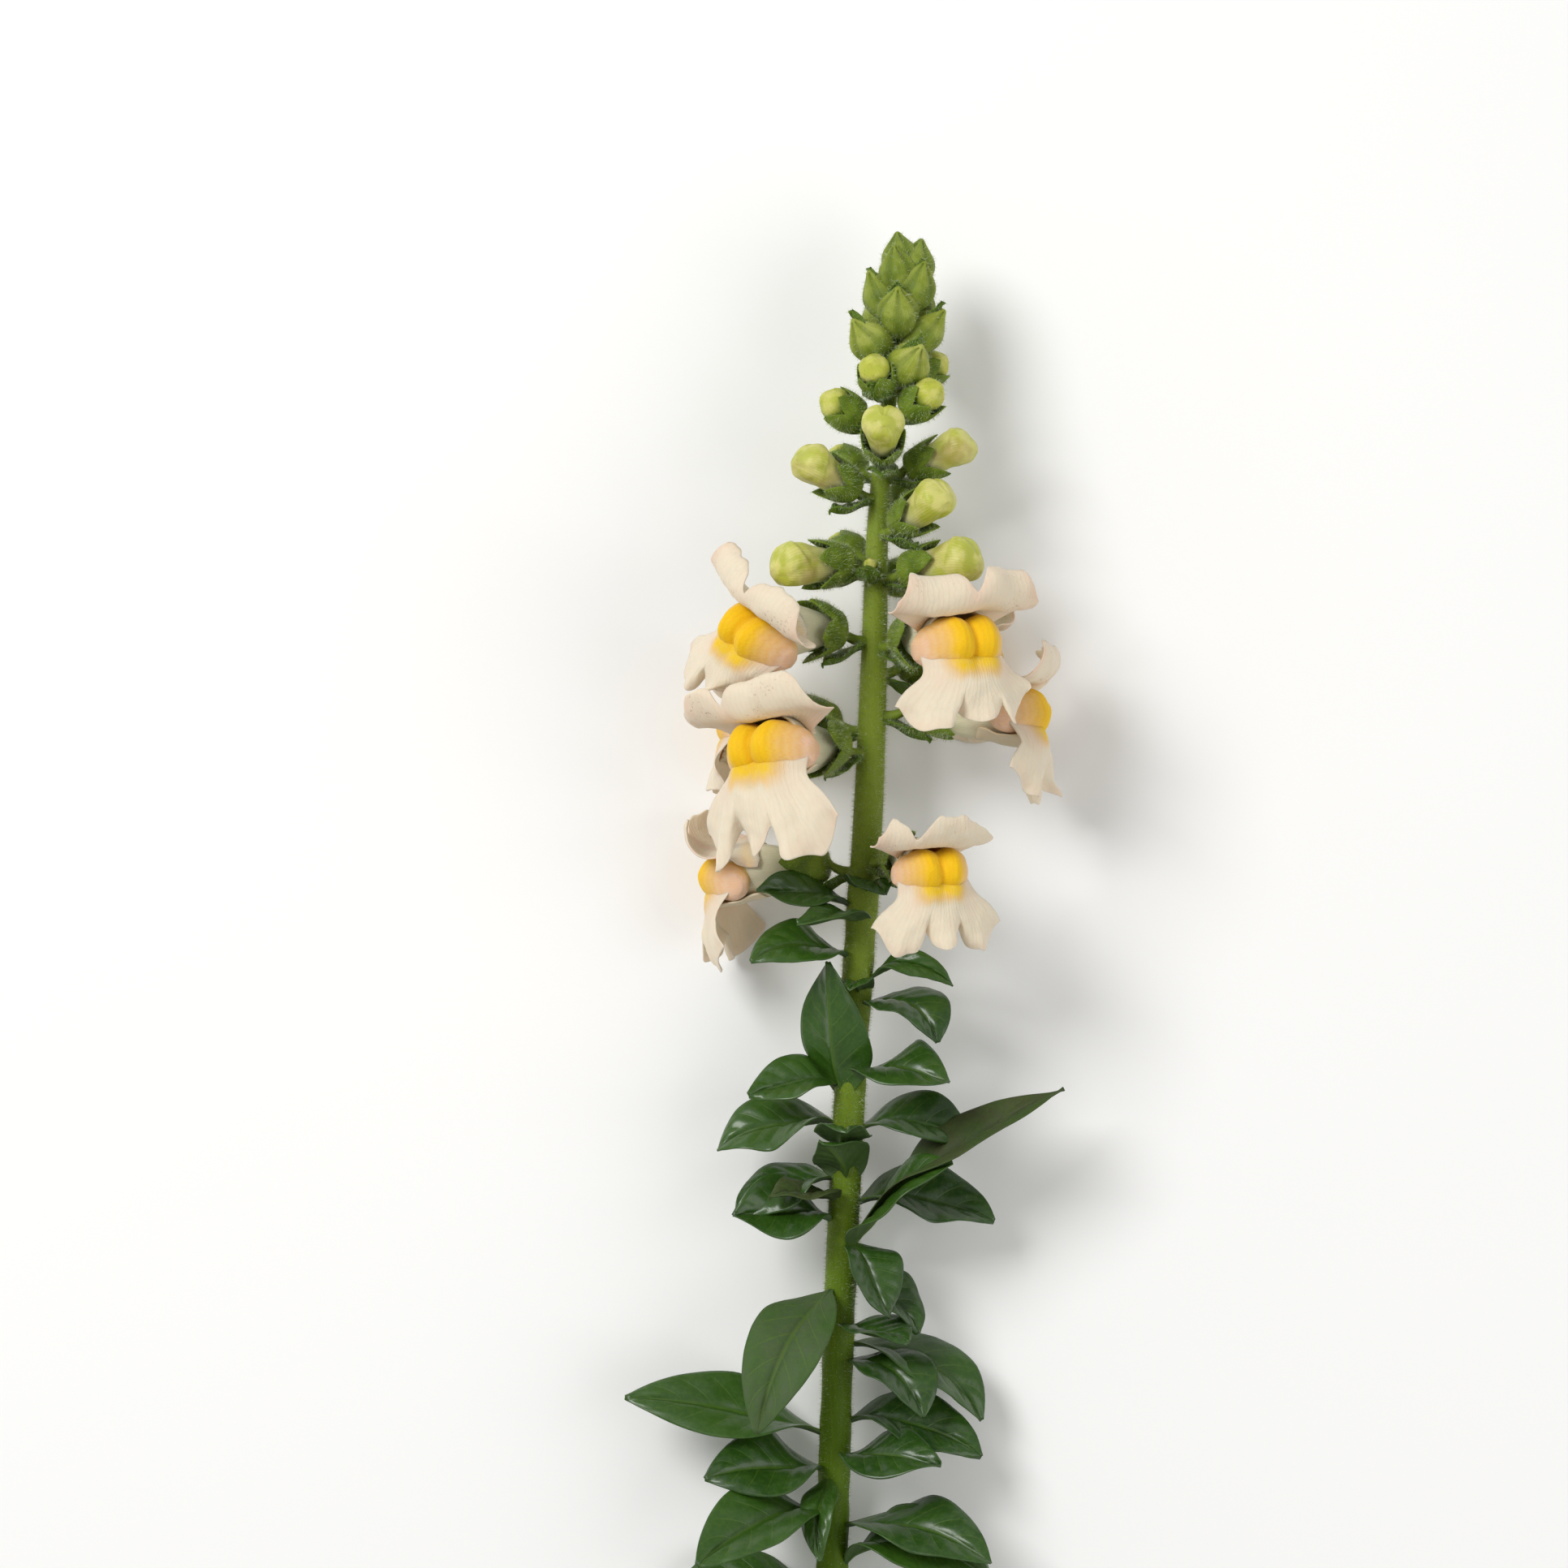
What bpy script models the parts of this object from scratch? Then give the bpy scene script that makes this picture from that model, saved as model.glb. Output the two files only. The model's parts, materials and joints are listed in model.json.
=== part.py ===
"""One cut snapdragon stem, lying on a surface with its best side up.

The stem runs along +Y, cut end first. +Z is up, towards whoever looks down on it, and X is across.
Lengths below are millimetres; MM turns them into Blender's metres.
"""

import math
import random

import bmesh
import bpy
from mathutils import Vector

MM = 0.001
GOLDEN_ANGLE = 137.5

# Driving dimensions of the stem
CUT_END_Y = -20.0
STEM_LENGTH = 540.0
TIP_Y = CUT_END_Y + STEM_LENGTH
STEM_SIDES = 10
STEM_RING_SPACING = 20.0

# The stem's line: distance along Y, then X, height of its axis, radius
STEM_LINE = (
    (-20.0, 0.0, 3.5, 3.68),
    (15.0, 0.0, 3.5, 3.68),
    (70.0, 0.6, 3.5, 3.68),
    (130.0, 1.4, 4.6, 3.7),
    (217.0, 2.0, 9.5, 3.7),
    (275.0, 3.6, 15.2, 3.6),
    (330.0, 6.2, 20.4, 3.55),
    (388.0, 10.0, 24.4, 3.5),
    (425.0, 11.4, 25.6, 3.1),
    (456.0, 12.3, 26.0, 2.5),
    (480.0, 14.4, 26.2, 1.9),
    (500.0, 17.4, 26.4, 1.5),
    (516.0, 20.0, 26.6, 0.8),
)

# How thick the thin pieces are
PETAL_THICK = 0.7
LEAF_THICK = 0.7
SEPAL_THICK = 0.7
SOCKET_GAP = 0.35

# Share of the triangles kept after fusing
COROLLA_KEPT = 0.75
STEM_KEPT = 0.66

# What would pass through the surface, or into the next floret, is pressed back: how near it may come
# and how softly it is pressed
FLOOR_CLEARANCE = 0.75
NEIGHBOUR_CLEARANCE = 0.7
SOFTNESS = 1.1

# Corolla tube: distance along it, half width, half height, rise of its centre
TUBE = (
    (2.2, 1.4, 1.4, -0.3),
    (4.2, 2.9, 3.1, -0.5),
    (9.0, 4.2, 4.8, -0.6),
    (16.0, 6.4, 6.0, 0.0),
    (21.0, 7.6, 6.3, 0.4),
)
TUBE_SIDES = 8

# The tube turns sideways between these two distances, so that the face may look elsewhere
TURN_START = 4.0
TURN_RUN = 11.0

# Palate, across the mouth: distance from the middle, its half depth, half height, centre's reach and rise
PALATE = (
    (-9.2, 1.6, 2.0, 19.2, -1.6),
    (-7.6, 4.0, 3.9, 20.6, -1.1),
    (-3.7, 6.1, 5.1, 22.9, -0.1),
    (0.0, 5.1, 4.6, 23.2, -0.3),
    (3.7, 6.1, 5.1, 22.9, -0.1),
    (7.6, 4.0, 3.9, 20.6, -1.1),
    (9.2, 1.6, 2.0, 19.2, -1.6),
)
PALATE_SIDES = 8

# Upper lip: half width, length of its lobes, notch between them, straight run before it rolls back
UPPER_HALF_WIDTH = 15.8
UPPER_LENGTH = 19.5
UPPER_NOTCH = 2.4
UPPER_STRAIGHT = 7.4
UPPER_ACROSS = (-1, -0.72, -0.42, -0.13, 0.13, 0.42, 0.72, 1)
UPPER_ALONG = (0, 0.27, 0.46, 0.64, 0.82, 1)

# Lower lip: half width at the mouth and at the lobes' ends, length of the middle and the side lobes
LOWER_MOUTH_HALF_WIDTH = 9.4
LOWER_HALF_WIDTH = 16.2
LOWER_MIDDLE_LENGTH = 13.5
LOWER_SIDE_LENGTH = 15.5
LOWER_BEND = 2.6
LOWER_ACROSS = (-1, -0.8, -0.55, -0.38, -0.29, -0.18, 0.0, 0.18, 0.29, 0.38, 0.55, 0.8, 1)
LOWER_ALONG = (0, 0.36, 0.52, 0.76, 1)

# Closed bud: distance along it, half width, half height, rise of its centre
BUD = (
    (2.2, 1.2, 1.2, -0.3),
    (4.2, 2.9, 3.0, -0.3),
    (9.5, 4.1, 4.3, 0.0),
    (14.5, 5.3, 5.4, 0.6),
    (18.0, 4.8, 4.6, 0.2),
    (20.0, 2.3, 2.2, -0.6),
)

# Calyx cup: distance along it and radius of its outside and inside, then the reach and radius of the
# sepals' tips and of the valleys between them
CALYX_OUTSIDE = ((0.0, 1.3), (1.8, 4.3))
CALYX_INSIDE = ((1.3, 0.5), (2.8, 3.5))
SEPAL_TIP = (9.8, 6.9)
SEPAL_VALLEY = (4.8, 5.5)
BUD_SEPAL_TIP = (11.0, 5.9)
BUD_SEPAL_VALLEY = (6.0, 5.2)
SEPALS = 5

# A young bud's head, still green and grown into its calyx: distance along it, radius
YOUNG_HEAD = ((5.4, 3.6), (8.6, 3.6), (10.6, 1.7))
YOUNG_SEPAL_TIP = (8.2, 5.0)

# A shut green bud near the apex: distance along it, radius
SHUT_BUD = ((0.0, 1.5), (3.2, 3.4), (6.2, 3.5), (9.6, 0.8))

# Open florets: name, where the stalk leaves the stem (Y), azimuth round the stem (0 is up, 90 is right),
# pitch towards the tip, sideways turn of the face, its tilt, size, hang of the lower lip, roll radius of
# the upper lip's left and right half, where its cleft is, seed
FLORETS = (
    ("01", 427.0, 42.0, -3.0, -14.0, -4.0, 1.14, 0.55, 4.0, 4.4, 0.0, 1),
    ("02", 428.5, -62.0, 2.0, 14.0, 32.0, 1.10, 0.60, 4.2, 4.6, 0.0, 2),
    ("03", 421.0, 128.0, 2.0, 0.0, 10.0, 0.94, 0.70, 4.4, 5.2, 0.2, 3),
    ("04", 411.5, 82.0, -4.0, 4.0, 6.0, 1.12, 0.60, 5.2, 4.6, 0.0, 4),
    ("05", 408.0, -116.0, -4.0, 0.0, -8.0, 1.02, 0.70, 5.0, 4.4, -0.1, 5),
    ("06", 403.0, -50.0, -4.0, 14.0, -6.0, 1.18, 0.90, 5.6, 4.8, -0.3, 6),
    ("07", 378.0, 38.0, -9.0, -16.0, -6.0, 0.95, 0.72, 5.6, 7.2, -0.45, 7),
    ("08", 376.0, -106.0, -8.0, 0.0, 8.0, 1.04, 0.75, 5.0, 5.6, 0.1, 8),
)

# Buds with coloured heads: name, Y of the stalk, azimuth, pitch, size
BUDS = (
    ("01", 444.5, -60.0, -6.0, 1.00),
    ("02", 442.5, 58.0, 4.0, 1.02),
    ("03", 461.0, -58.0, 22.0, 0.88),
    ("04", 453.0, 42.0, 20.0, 0.90),
    ("05", 469.0, 0.0, 24.0, 0.88),
    ("06", 466.0, 76.0, 18.0, 0.84),
)

# Young green buds with open sepals: Y of the stalk, azimuth, pitch, size
YOUNG_BUDS = (
    (443.0, -12.0, 40.0, 0.40),
    (441.0, 148.0, 10.0, 0.95),
    (447.0, -140.0, 12.0, 0.92),
    (459.0, 136.0, 16.0, 0.92),
    (466.0, -128.0, 20.0, 0.92),
    (477.0, -78.0, 28.0, 0.98),
    (479.0, 52.0, 28.0, 1.00),
    (484.0, -20.0, 36.0, 0.94),
    (486.0, 112.0, 32.0, 0.92),
)

# Green tip of the spike: shut buds on a spiral, from the lowest to the apex
TIP_BUDS = 13
TIP_BUDS_BOTTOM_Y = 487.0
TIP_BUDS_TOP_Y = 509.5
TIP_BUD_SIZES = (1.36, 1.22)
TIP_BRACT_LENGTHS = (18.0, 13.0)
BRACT_WIDTH = 7.6

# Leaves seen from above: Y of the stalk, azimuth, length, width, angle from the stem at base and at tip,
# bend sideways, twist
SHOWN_LEAVES = (
    (371.0, 6.0, 14.0, 12.0, 50.0, 130.0, 30.0, 0.0),
    (365.0, -12.0, 21.0, 14.0, 80.0, 105.0, -70.0, 10.0),
    (368.0, -72.0, 24.0, 12.0, 70.0, 92.0, -5.0, 50.0),
    (356.0, -60.0, 28.0, 15.0, 62.0, 118.0, 0.0, 45.0),
    (349.0, 12.0, 10.0, 8.0, 70.0, 100.0, -50.0, 0.0),
    (350.0, 70.0, 24.0, 7.0, 40.0, 140.0, 10.0, -60.0),
    (345.0, 56.0, 25.0, 19.0, 60.0, 160.0, 4.0, -20.0),
    (330.0, 30.0, 28.0, 20.0, 75.0, 112.0, 45.0, -25.0),
    (327.0, -74.0, 23.0, 14.0, 75.0, 115.0, -5.0, 50.0),
    (322.0, -34.0, 35.0, 19.0, 24.0, 8.0, 4.0, 0.0),
    (318.0, -92.0, 30.0, 17.0, 75.0, 128.0, 0.0, 50.0),
    (317.0, 88.0, 28.0, 16.0, 70.0, 120.0, 0.0, -50.0),
    (312.0, -14.0, 16.0, 14.0, 50.0, 90.0, 30.0, 0.0),
    (306.0, -78.0, 26.0, 16.0, 85.0, 136.0, 0.0, 45.0),
    (303.0, 10.0, 20.0, 14.0, 30.0, 70.0, -50.0, 0.0),
    (300.0, -42.0, 21.0, 12.0, 60.0, 110.0, -20.0, 20.0),
    (300.0, 98.0, 34.0, 19.0, 75.0, 120.0, -8.0, -50.0),
    (296.0, -66.0, 26.0, 19.0, 72.0, 100.0, -5.0, 60.0),
    (292.0, 40.0, 22.0, 16.0, 125.0, 165.0, 10.0, 0.0),
    (291.0, 66.0, 62.0, 17.0, 44.0, 64.0, 20.0, -40.0),
    (288.0, 46.0, 36.0, 18.0, 34.0, 66.0, 22.0, -50.0),
    (284.0, 80.0, 22.0, 16.0, 100.0, 160.0, 0.0, -30.0),
    (281.0, -36.0, 44.0, 19.0, 108.0, 172.0, -8.0, 30.0),
    (271.0, 40.0, 22.0, 17.0, 80.0, 110.0, 6.0, -10.0),
    (268.0, 92.0, 38.0, 19.0, 88.0, 150.0, 0.0, -40.0),
    (264.0, 62.0, 26.0, 19.0, 80.0, 160.0, 0.0, -25.0),
    (250.0, 84.0, 34.0, 17.0, 78.0, 130.0, 0.0, -55.0),
    (247.0, -80.0, 48.0, 19.0, 72.0, 86.0, -5.0, 60.0),
    (239.0, -62.0, 31.0, 20.0, 80.0, 104.0, -10.0, 55.0),
    (242.0, 40.0, 28.0, 18.0, 80.0, 104.0, 34.0, -40.0),
    (238.0, -24.0, 24.0, 9.0, 120.0, 168.0, 14.0, 0.0),
    (229.0, -46.0, 42.0, 20.0, 80.0, 128.0, -6.0, 40.0),
    (226.0, 60.0, 40.0, 20.0, 78.0, 122.0, 8.0, -35.0),
)

# Leaves placed by the spiral on the part below: how many, and between what lengths, widths and twists
SPIRAL_LEAVES = 9
SPIRAL_LEAF_TOP = 216.0
SPIRAL_LEAF_BOTTOM = 148.0
SPIRAL_LEAF_LENGTH = (32.0, 46.0)
SPIRAL_LEAF_WIDTH = (16.0, 20.0)
SPIRAL_LEAF_TWIST = (25.0, 60.0)
LOWEST_SIDE = 100.0

GREEN_STEM = (0.13, 0.24, 0.025)
BLUSH_PETAL = (0.86, 0.72, 0.60)
YELLOW_PALATE = (0.90, 0.52, 0.03)
LIME_BUD = (0.56, 0.60, 0.20)


def clear_scene():
    for old in list(bpy.data.objects):
        bpy.data.objects.remove(old)


def smooth(x):
    """0 below 0, 1 above 1, and a soft step between."""
    x = min(max(x, 0.0), 1.0)
    return x * x * (3 - 2 * x)


def blend(a, b, share):
    return a + (b - a) * share


def table_at(table, x):
    """A row read from a table by its first column, along a smooth curve through the rows."""
    last = len(table) - 1
    x = min(max(x, table[0][0]), table[last][0])
    k = 0
    while k < last - 1 and x > table[k + 1][0]:
        k += 1
    before, left, right, after = (table[min(max(i, 0), last)] for i in (k - 1, k, k + 1, k + 2))
    span = right[0] - left[0]
    u = (x - left[0]) / span
    found = []
    for column in range(1, len(left)):
        slope_left = (right[column] - before[column]) / (right[0] - before[0]) * span
        slope_right = (after[column] - left[column]) / (after[0] - left[0]) * span
        found.append(
            (2 * u**3 - 3 * u**2 + 1) * left[column]
            + (u**3 - 2 * u**2 + u) * slope_left
            + (3 * u**2 - 2 * u**3) * right[column]
            + (u**3 - u**2) * slope_right
        )
    return found


def stem_centre(y):
    """The stem's axis, which never dips below its height at the cut end."""
    x, z, _ = table_at(STEM_LINE, y)
    return Vector((x, y, max(z, STEM_LINE[0][2])))


def stem_radius(y):
    return table_at(STEM_LINE, y)[2]


def pressed(distance, clearance):
    """The distance from a plane, eased so that it stays above the clearance."""
    over = (distance - clearance) / SOFTNESS
    return clearance + SOFTNESS * (over if over > 20 else math.log1p(math.exp(over)))


def above_surface(point, clearance=FLOOR_CLEARANCE):
    """The point, lifted softly where it would pass through the surface."""
    return Vector((point.x, point.y, pressed(point.z, clearance)))


def outward(azimuth):
    """Unit vector away from the stem: azimuth 0 is up, 90 is to the right."""
    a = math.radians(azimuth)
    return Vector((math.sin(a), 0.0, math.cos(a)))


def mesh_object(name, points, faces, colour=None, rough=0.6):
    """A new mesh object from points in millimetres."""
    mesh = bpy.data.meshes.new(name)
    mesh.from_pydata([p * MM for p in points], [], faces)
    made = bmesh.new()
    made.from_mesh(mesh)
    bmesh.ops.triangulate(made, faces=[f for f in made.faces if len(f.verts) > 3])
    bmesh.ops.recalc_face_normals(made, faces=made.faces)
    made.to_mesh(mesh)
    made.free()
    obj = bpy.data.objects.new(name, mesh)
    bpy.context.scene.collection.objects.link(obj)
    if colour:
        mesh.materials.append(plain_material(name, colour, rough))
    return obj


def plain_material(name, colour, rough):
    material = bpy.data.materials.new(name)
    material.use_nodes = True
    shader = material.node_tree.nodes["Principled BSDF"]
    shader.inputs["Base Color"].default_value = (*colour, 1.0)
    shader.inputs["Roughness"].default_value = rough
    shader.inputs["Metallic"].default_value = 0.0
    return material


def blade(name, surface, across, along, thick):
    """A closed thin blade. surface(s, t) is its middle, s and t are taken from the two lists."""
    step = 1e-3
    points = []
    for side in (0.5, -0.5):
        for t in along:
            for s in across:
                along_s = surface(s + step, t) - surface(s - step, t)
                along_t = surface(s, t + step) - surface(s, t - step)
                normal = along_s.cross(along_t).normalized()
                points.append(surface(s, t) + normal * (thick * side))
    wide, tall = len(across), len(along)
    under = wide * tall
    faces = []
    for i in range(tall - 1):
        for j in range(wide - 1):
            a, b = i * wide + j, i * wide + j + 1
            c, d = b + wide, a + wide
            faces += [(a, b, c), (a, c, d)]
            faces += [(under + a, under + c, under + b), (under + a, under + d, under + c)]
    rim = [j for j in range(wide)]
    rim += [i * wide + wide - 1 for i in range(1, tall)]
    rim += [(tall - 1) * wide + j for j in range(wide - 2, -1, -1)]
    rim += [i * wide for i in range(tall - 2, 0, -1)]
    for here, there in zip(rim, rim[1:] + rim[:1]):
        faces += [(here, under + here, under + there), (here, under + there, there)]
    return mesh_object(name, points, faces)


def loft(name, rings, colour=None, rough=0.6):
    """A closed solid through rings of points, with a point in the middle of each end."""
    count = len(rings[0])
    points = [p for ring in rings for p in ring]
    faces = []
    for i in range(len(rings) - 1):
        for j in range(count):
            a, b = i * count + j, i * count + (j + 1) % count
            faces += [(a, b, b + count), (a, b + count, a + count)]
    for ring, start in ((rings[0], 0), (rings[-1], (len(rings) - 1) * count)):
        middle = len(points)
        points.append(sum(ring, Vector()) / count)
        faces += [(start + j, start + (j + 1) % count, middle) for j in range(count)]
    return mesh_object(name, points, faces, colour, rough)


def evaluated_mesh(obj):
    """The object's mesh with its modifiers done."""
    bpy.context.view_layer.update()
    return bpy.data.meshes.new_from_object(obj.evaluated_get(bpy.context.evaluated_depsgraph_get()))


def joined(base, pieces, operation="UNION"):
    """The base with the pieces fused to it or cut from it. The pieces are then removed."""
    group = bpy.data.collections.new(base.name + "_pieces")
    bpy.context.scene.collection.children.link(group)
    for piece in pieces:
        bpy.context.scene.collection.objects.unlink(piece)
        group.objects.link(piece)
    fuse = base.modifiers.new("fuse", "BOOLEAN")
    fuse.operation = operation
    fuse.operand_type = "COLLECTION"
    fuse.collection = group
    fuse.solver = "MANIFOLD"
    base.data = evaluated_mesh(base)
    base.modifiers.clear()
    for piece in list(group.objects):
        bpy.data.objects.remove(piece)
    bpy.data.collections.remove(group)


def thinned(obj, share):
    """Drop loose scraps and sealed pockets, then the points that fusing left on even surfaces."""
    made = bmesh.new()
    made.from_mesh(obj.data)
    islands, seen = [], set()
    for seed in made.verts:
        if seed in seen:
            continue
        island, stack = [], [seed]
        seen.add(seed)
        while stack:
            vert = stack.pop()
            island.append(vert)
            near = [edge.other_vert(vert) for edge in vert.link_edges]
            fresh = [other for other in near if other not in seen]
            seen.update(fresh)
            stack += fresh
        islands.append(island)
    islands.sort(key=len)
    for island in islands[:-1]:
        bmesh.ops.delete(made, geom=island, context="VERTS")
    bmesh.ops.triangulate(made, faces=made.faces)
    made.to_mesh(obj.data)
    made.free()
    fewer = obj.modifiers.new("fewer", "DECIMATE")
    fewer.ratio = share
    obj.data = evaluated_mesh(obj)
    obj.modifiers.clear()


class Seat:
    """Where a floret or bud sits: where its calyx starts, its own forward, right and up, and its size."""

    def __init__(self, y, azimuth, pitch, turn, tilt, size, reach):
        away = outward(azimuth)
        tipward = Vector((0.0, 1.0, 0.0))
        p, w = math.radians(pitch), math.radians(tilt)
        self.root = stem_centre(y)
        self.forward = (away * math.cos(p) + tipward * math.sin(p)).normalized()
        up = (tipward * math.cos(p) - away * math.sin(p)).normalized()
        right = up.cross(self.forward)
        self.up = up * math.cos(w) + right * math.sin(w)
        self.right = right * math.cos(w) - up * math.sin(w)
        self.turn = math.radians(turn)
        self.size = size
        self.start = self.root + away * (stem_radius(y) + reach) + tipward * (0.5 * reach)
        self.neighbours = []

    def place(self, x, y, z):
        """A point at x along the tube, which turns sideways, y across it and z above it."""
        share = min(max((x - TURN_START) / TURN_RUN, 0.0), 1.0)
        heading = self.turn * share
        ahead, aside = min(x, TURN_START), 0.0
        if abs(self.turn) > 1e-4:
            radius = TURN_RUN / self.turn
            ahead += radius * math.sin(heading)
            aside += radius * (1 - math.cos(heading))
        else:
            ahead += TURN_RUN * share
        beyond = max(x - TURN_START - TURN_RUN, 0.0)
        ahead += beyond * math.cos(heading) - y * math.sin(heading)
        aside += beyond * math.sin(heading) + y * math.cos(heading)
        return self.start + (self.forward * ahead + self.right * aside + self.up * z) * self.size

    def place_soft(self, x, y, z):
        """The same for a petal, pressed back by the neighbours and the surface."""
        point = self.place(x, y, z)
        for border, normal in self.neighbours:
            distance = (point - border).dot(normal)
            point += normal * (pressed(distance, NEIGHBOUR_CLEARANCE) - distance)
        return above_surface(point)

    def keep_apart(self, others, reach, spread):
        """Note the planes between this floret and its neighbours."""
        heart = self.place(reach, 0.0, 0.0)
        for other, other_reach, other_spread in others:
            apart = heart - other.place(other_reach, 0.0, 0.0)
            distance = apart.length
            if 0 < distance < spread + other_spread:
                share = (distance**2 + spread**2 - other_spread**2) / (2 * distance)
                normal = apart / distance
                self.neighbours.append((heart - normal * share, normal))


def ring_at(seat, x, half_width, half_height, rise, sides):
    ring = []
    for k in range(sides):
        a = 2 * math.pi * (k + 0.5) / sides
        ring.append(seat.place(x, half_width * math.cos(a), rise + half_height * math.sin(a)))
    return ring


def upper_lip_point(seat, s, t, left_radius, right_radius, cleft, phase):
    """The two upper lobes: forward out of the mouth, spread sideways and rolled back."""
    radius = blend(left_radius, right_radius, smooth(0.5 + 1.2 * (s - cleft)))
    lobe = 1 - 0.6 * (abs(s - cleft) - 0.55) ** 2 - 0.16 * smooth((abs(s) - 0.8) / 0.2)
    length = UPPER_LENGTH * lobe - UPPER_NOTCH * math.exp(-(((s - cleft) / 0.14) ** 2))
    run = t * length
    lean = math.radians(3)
    ahead, rise = min(run, UPPER_STRAIGHT) * math.cos(lean), min(run, UPPER_STRAIGHT) * math.sin(lean)
    if run > UPPER_STRAIGHT:
        turn = (run - UPPER_STRAIGHT) / radius
        ahead += radius * (math.sin(lean + turn) - math.sin(lean))
        rise -= radius * (math.cos(lean + turn) - math.cos(lean))
    a = math.radians(78) * s
    spread = smooth(run / 7.0)
    wave = 0.9 * smooth(run / 14.0) * math.sin(5.2 * s + phase)
    x = 17.2 - 1.4 * s * s + ahead - 2.0 * s * s * spread + 0.5 * wave
    y = blend(6.9 * math.sin(a), UPPER_HALF_WIDTH * s, spread)
    z = blend(0.4 + 5.8 * math.cos(a), 5.9, smooth(run / 6.0)) + rise + 0.7 * wave
    return seat.place_soft(x, y, z)


def lower_lip_point(seat, s, t, hang, phase):
    """The three lower lobes: forward under the palate, then hanging as a ruffled skirt."""
    forward_run = 11.0 - 5.0 * s * s
    bend_angle = math.radians(82)
    bend_run = LOWER_BEND * bend_angle
    side = smooth((abs(s) - 0.2) / 0.2)
    rounded = 1 - 0.55 * smooth((abs(s) - 0.72) / 0.3) ** 1.5
    lobe = blend(LOWER_MIDDLE_LENGTH, LOWER_SIDE_LENGTH * rounded, side)
    notch = math.exp(-(((abs(s) - 0.29) / 0.06) ** 2))
    hang_run = hang * lobe * (1 - 0.24 * notch)
    run = t * (forward_run + bend_run + hang_run)
    ahead = min(run, forward_run)
    angle = min(max(run - forward_run, 0.0), bend_run) / LOWER_BEND
    hung = max(run - forward_run - bend_run, 0.0)
    ahead += LOWER_BEND * math.sin(angle) + hung * math.cos(angle)
    drop = LOWER_BEND * (1 - math.cos(angle)) + hung * math.sin(angle)
    share = hung / hang_run
    wave = hang * (1.3 * share * math.sin(8.5 * s + phase) - 1.6 * share * share)
    out = smooth(run / (forward_run + bend_run))
    x = 15.8 + ahead + wave - 2.0 * s * s * share
    y = s * (blend(7.4, LOWER_MOUTH_HALF_WIDTH, out) + (LOWER_HALF_WIDTH - LOWER_MOUTH_HALF_WIDTH) * share)
    z = -6.0 + 2.2 * s * s * (1 - share) - drop
    return seat.place_soft(x, y, z)


def palate_rings(seat, grow=0.0):
    """The swollen, two-humped palate that closes the mouth, as rings from side to side."""
    rings = []
    for y, half_depth, half_height, reach, rise in PALATE:
        side = y + math.copysign(grow, y) if abs(y) > 9 else y
        ring = []
        for k in range(PALATE_SIDES):
            a = 2 * math.pi * (k + 0.5) / PALATE_SIDES
            x = reach + (half_depth + grow) * math.cos(a)
            ring.append(seat.place(x, side, rise + (half_height + grow) * math.sin(a)))
        rings.append(ring)
    return rings


def make_floret(seat, name, hang, left_radius, right_radius, cleft, seed):
    """One open floret: its blush corolla and its yellow palate."""
    draw = random.Random(seed)
    rings = [ring_at(seat, *row, sides=TUBE_SIDES) for row in TUBE]
    tube = loft("corolla_" + name, rings, BLUSH_PETAL, 0.55)
    upper_phase, lower_phase = draw.uniform(0, 6.28), draw.uniform(0, 6.28)
    upper = blade(
        "upper_lip",
        lambda s, t: upper_lip_point(seat, s, t, left_radius, right_radius, cleft, upper_phase),
        UPPER_ACROSS,
        UPPER_ALONG,
        PETAL_THICK,
    )
    lower = blade(
        "lower_lip",
        lambda s, t: lower_lip_point(seat, s, t, hang, lower_phase),
        LOWER_ACROSS,
        LOWER_ALONG,
        PETAL_THICK,
    )
    joined(tube, [upper, lower])
    joined(tube, [loft("socket", palate_rings(seat, SOCKET_GAP))], operation="DIFFERENCE")
    thinned(tube, COROLLA_KEPT)
    loft("palate_" + name, palate_rings(seat), YELLOW_PALATE, 0.6)


def make_bud(seat, name):
    """The coloured head of a bud that stands out of its calyx."""
    loft("bud_" + name, [ring_at(seat, *row, sides=8) for row in BUD], LIME_BUD, 0.55)


def stalk_rings(seat, radius, columns):
    """A short stalk from inside the stem, which bends up to the calyx."""
    rings = []
    end = seat.place(0.0, 0.0, -0.3)
    for share, width in ((0.0, 1.3), (0.6, 1.0)):
        centre = seat.root.lerp(end, share) - Vector((0.0, 1.0, 0.0)) * (1.2 * share * seat.size)
        ring = []
        for k in range(columns):
            a = 2 * math.pi * k / columns + math.pi / 2
            ring.append(centre + (seat.right * math.cos(a) + seat.up * math.sin(a)) * (radius * width))
        rings.append(ring)
    return rings


def lobed_cup(seat, rows, stalk_radius):
    """A stalk and what grows on it, through rows of (reach, radius) all round."""
    columns = 2 * SEPALS
    rings = stalk_rings(seat, stalk_radius, columns)
    for row in rows:
        ring = []
        for k, (x, radius) in enumerate(row):
            a = 2 * math.pi * k / columns + math.pi / 2
            ring.append(seat.place(x, radius * math.cos(a), radius * math.sin(a) - 0.3))
        rings.append(ring)
    return loft("calyx", rings)


def around(pair):
    return [pair] * (2 * SEPALS)


def calyx(seat, tip, valley):
    """A five-pointed cup with a wall that a floret or a coloured bud sits in."""
    wall = SEPAL_THICK / seat.size
    edge = [tip, valley] * SEPALS
    rows = [around(row) for row in CALYX_OUTSIDE]
    rows += [edge, [(x, radius - wall) for x, radius in edge]]
    rows += [around(row) for row in CALYX_INSIDE[::-1]]
    return lobed_cup(seat, rows, 1.2)


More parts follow.
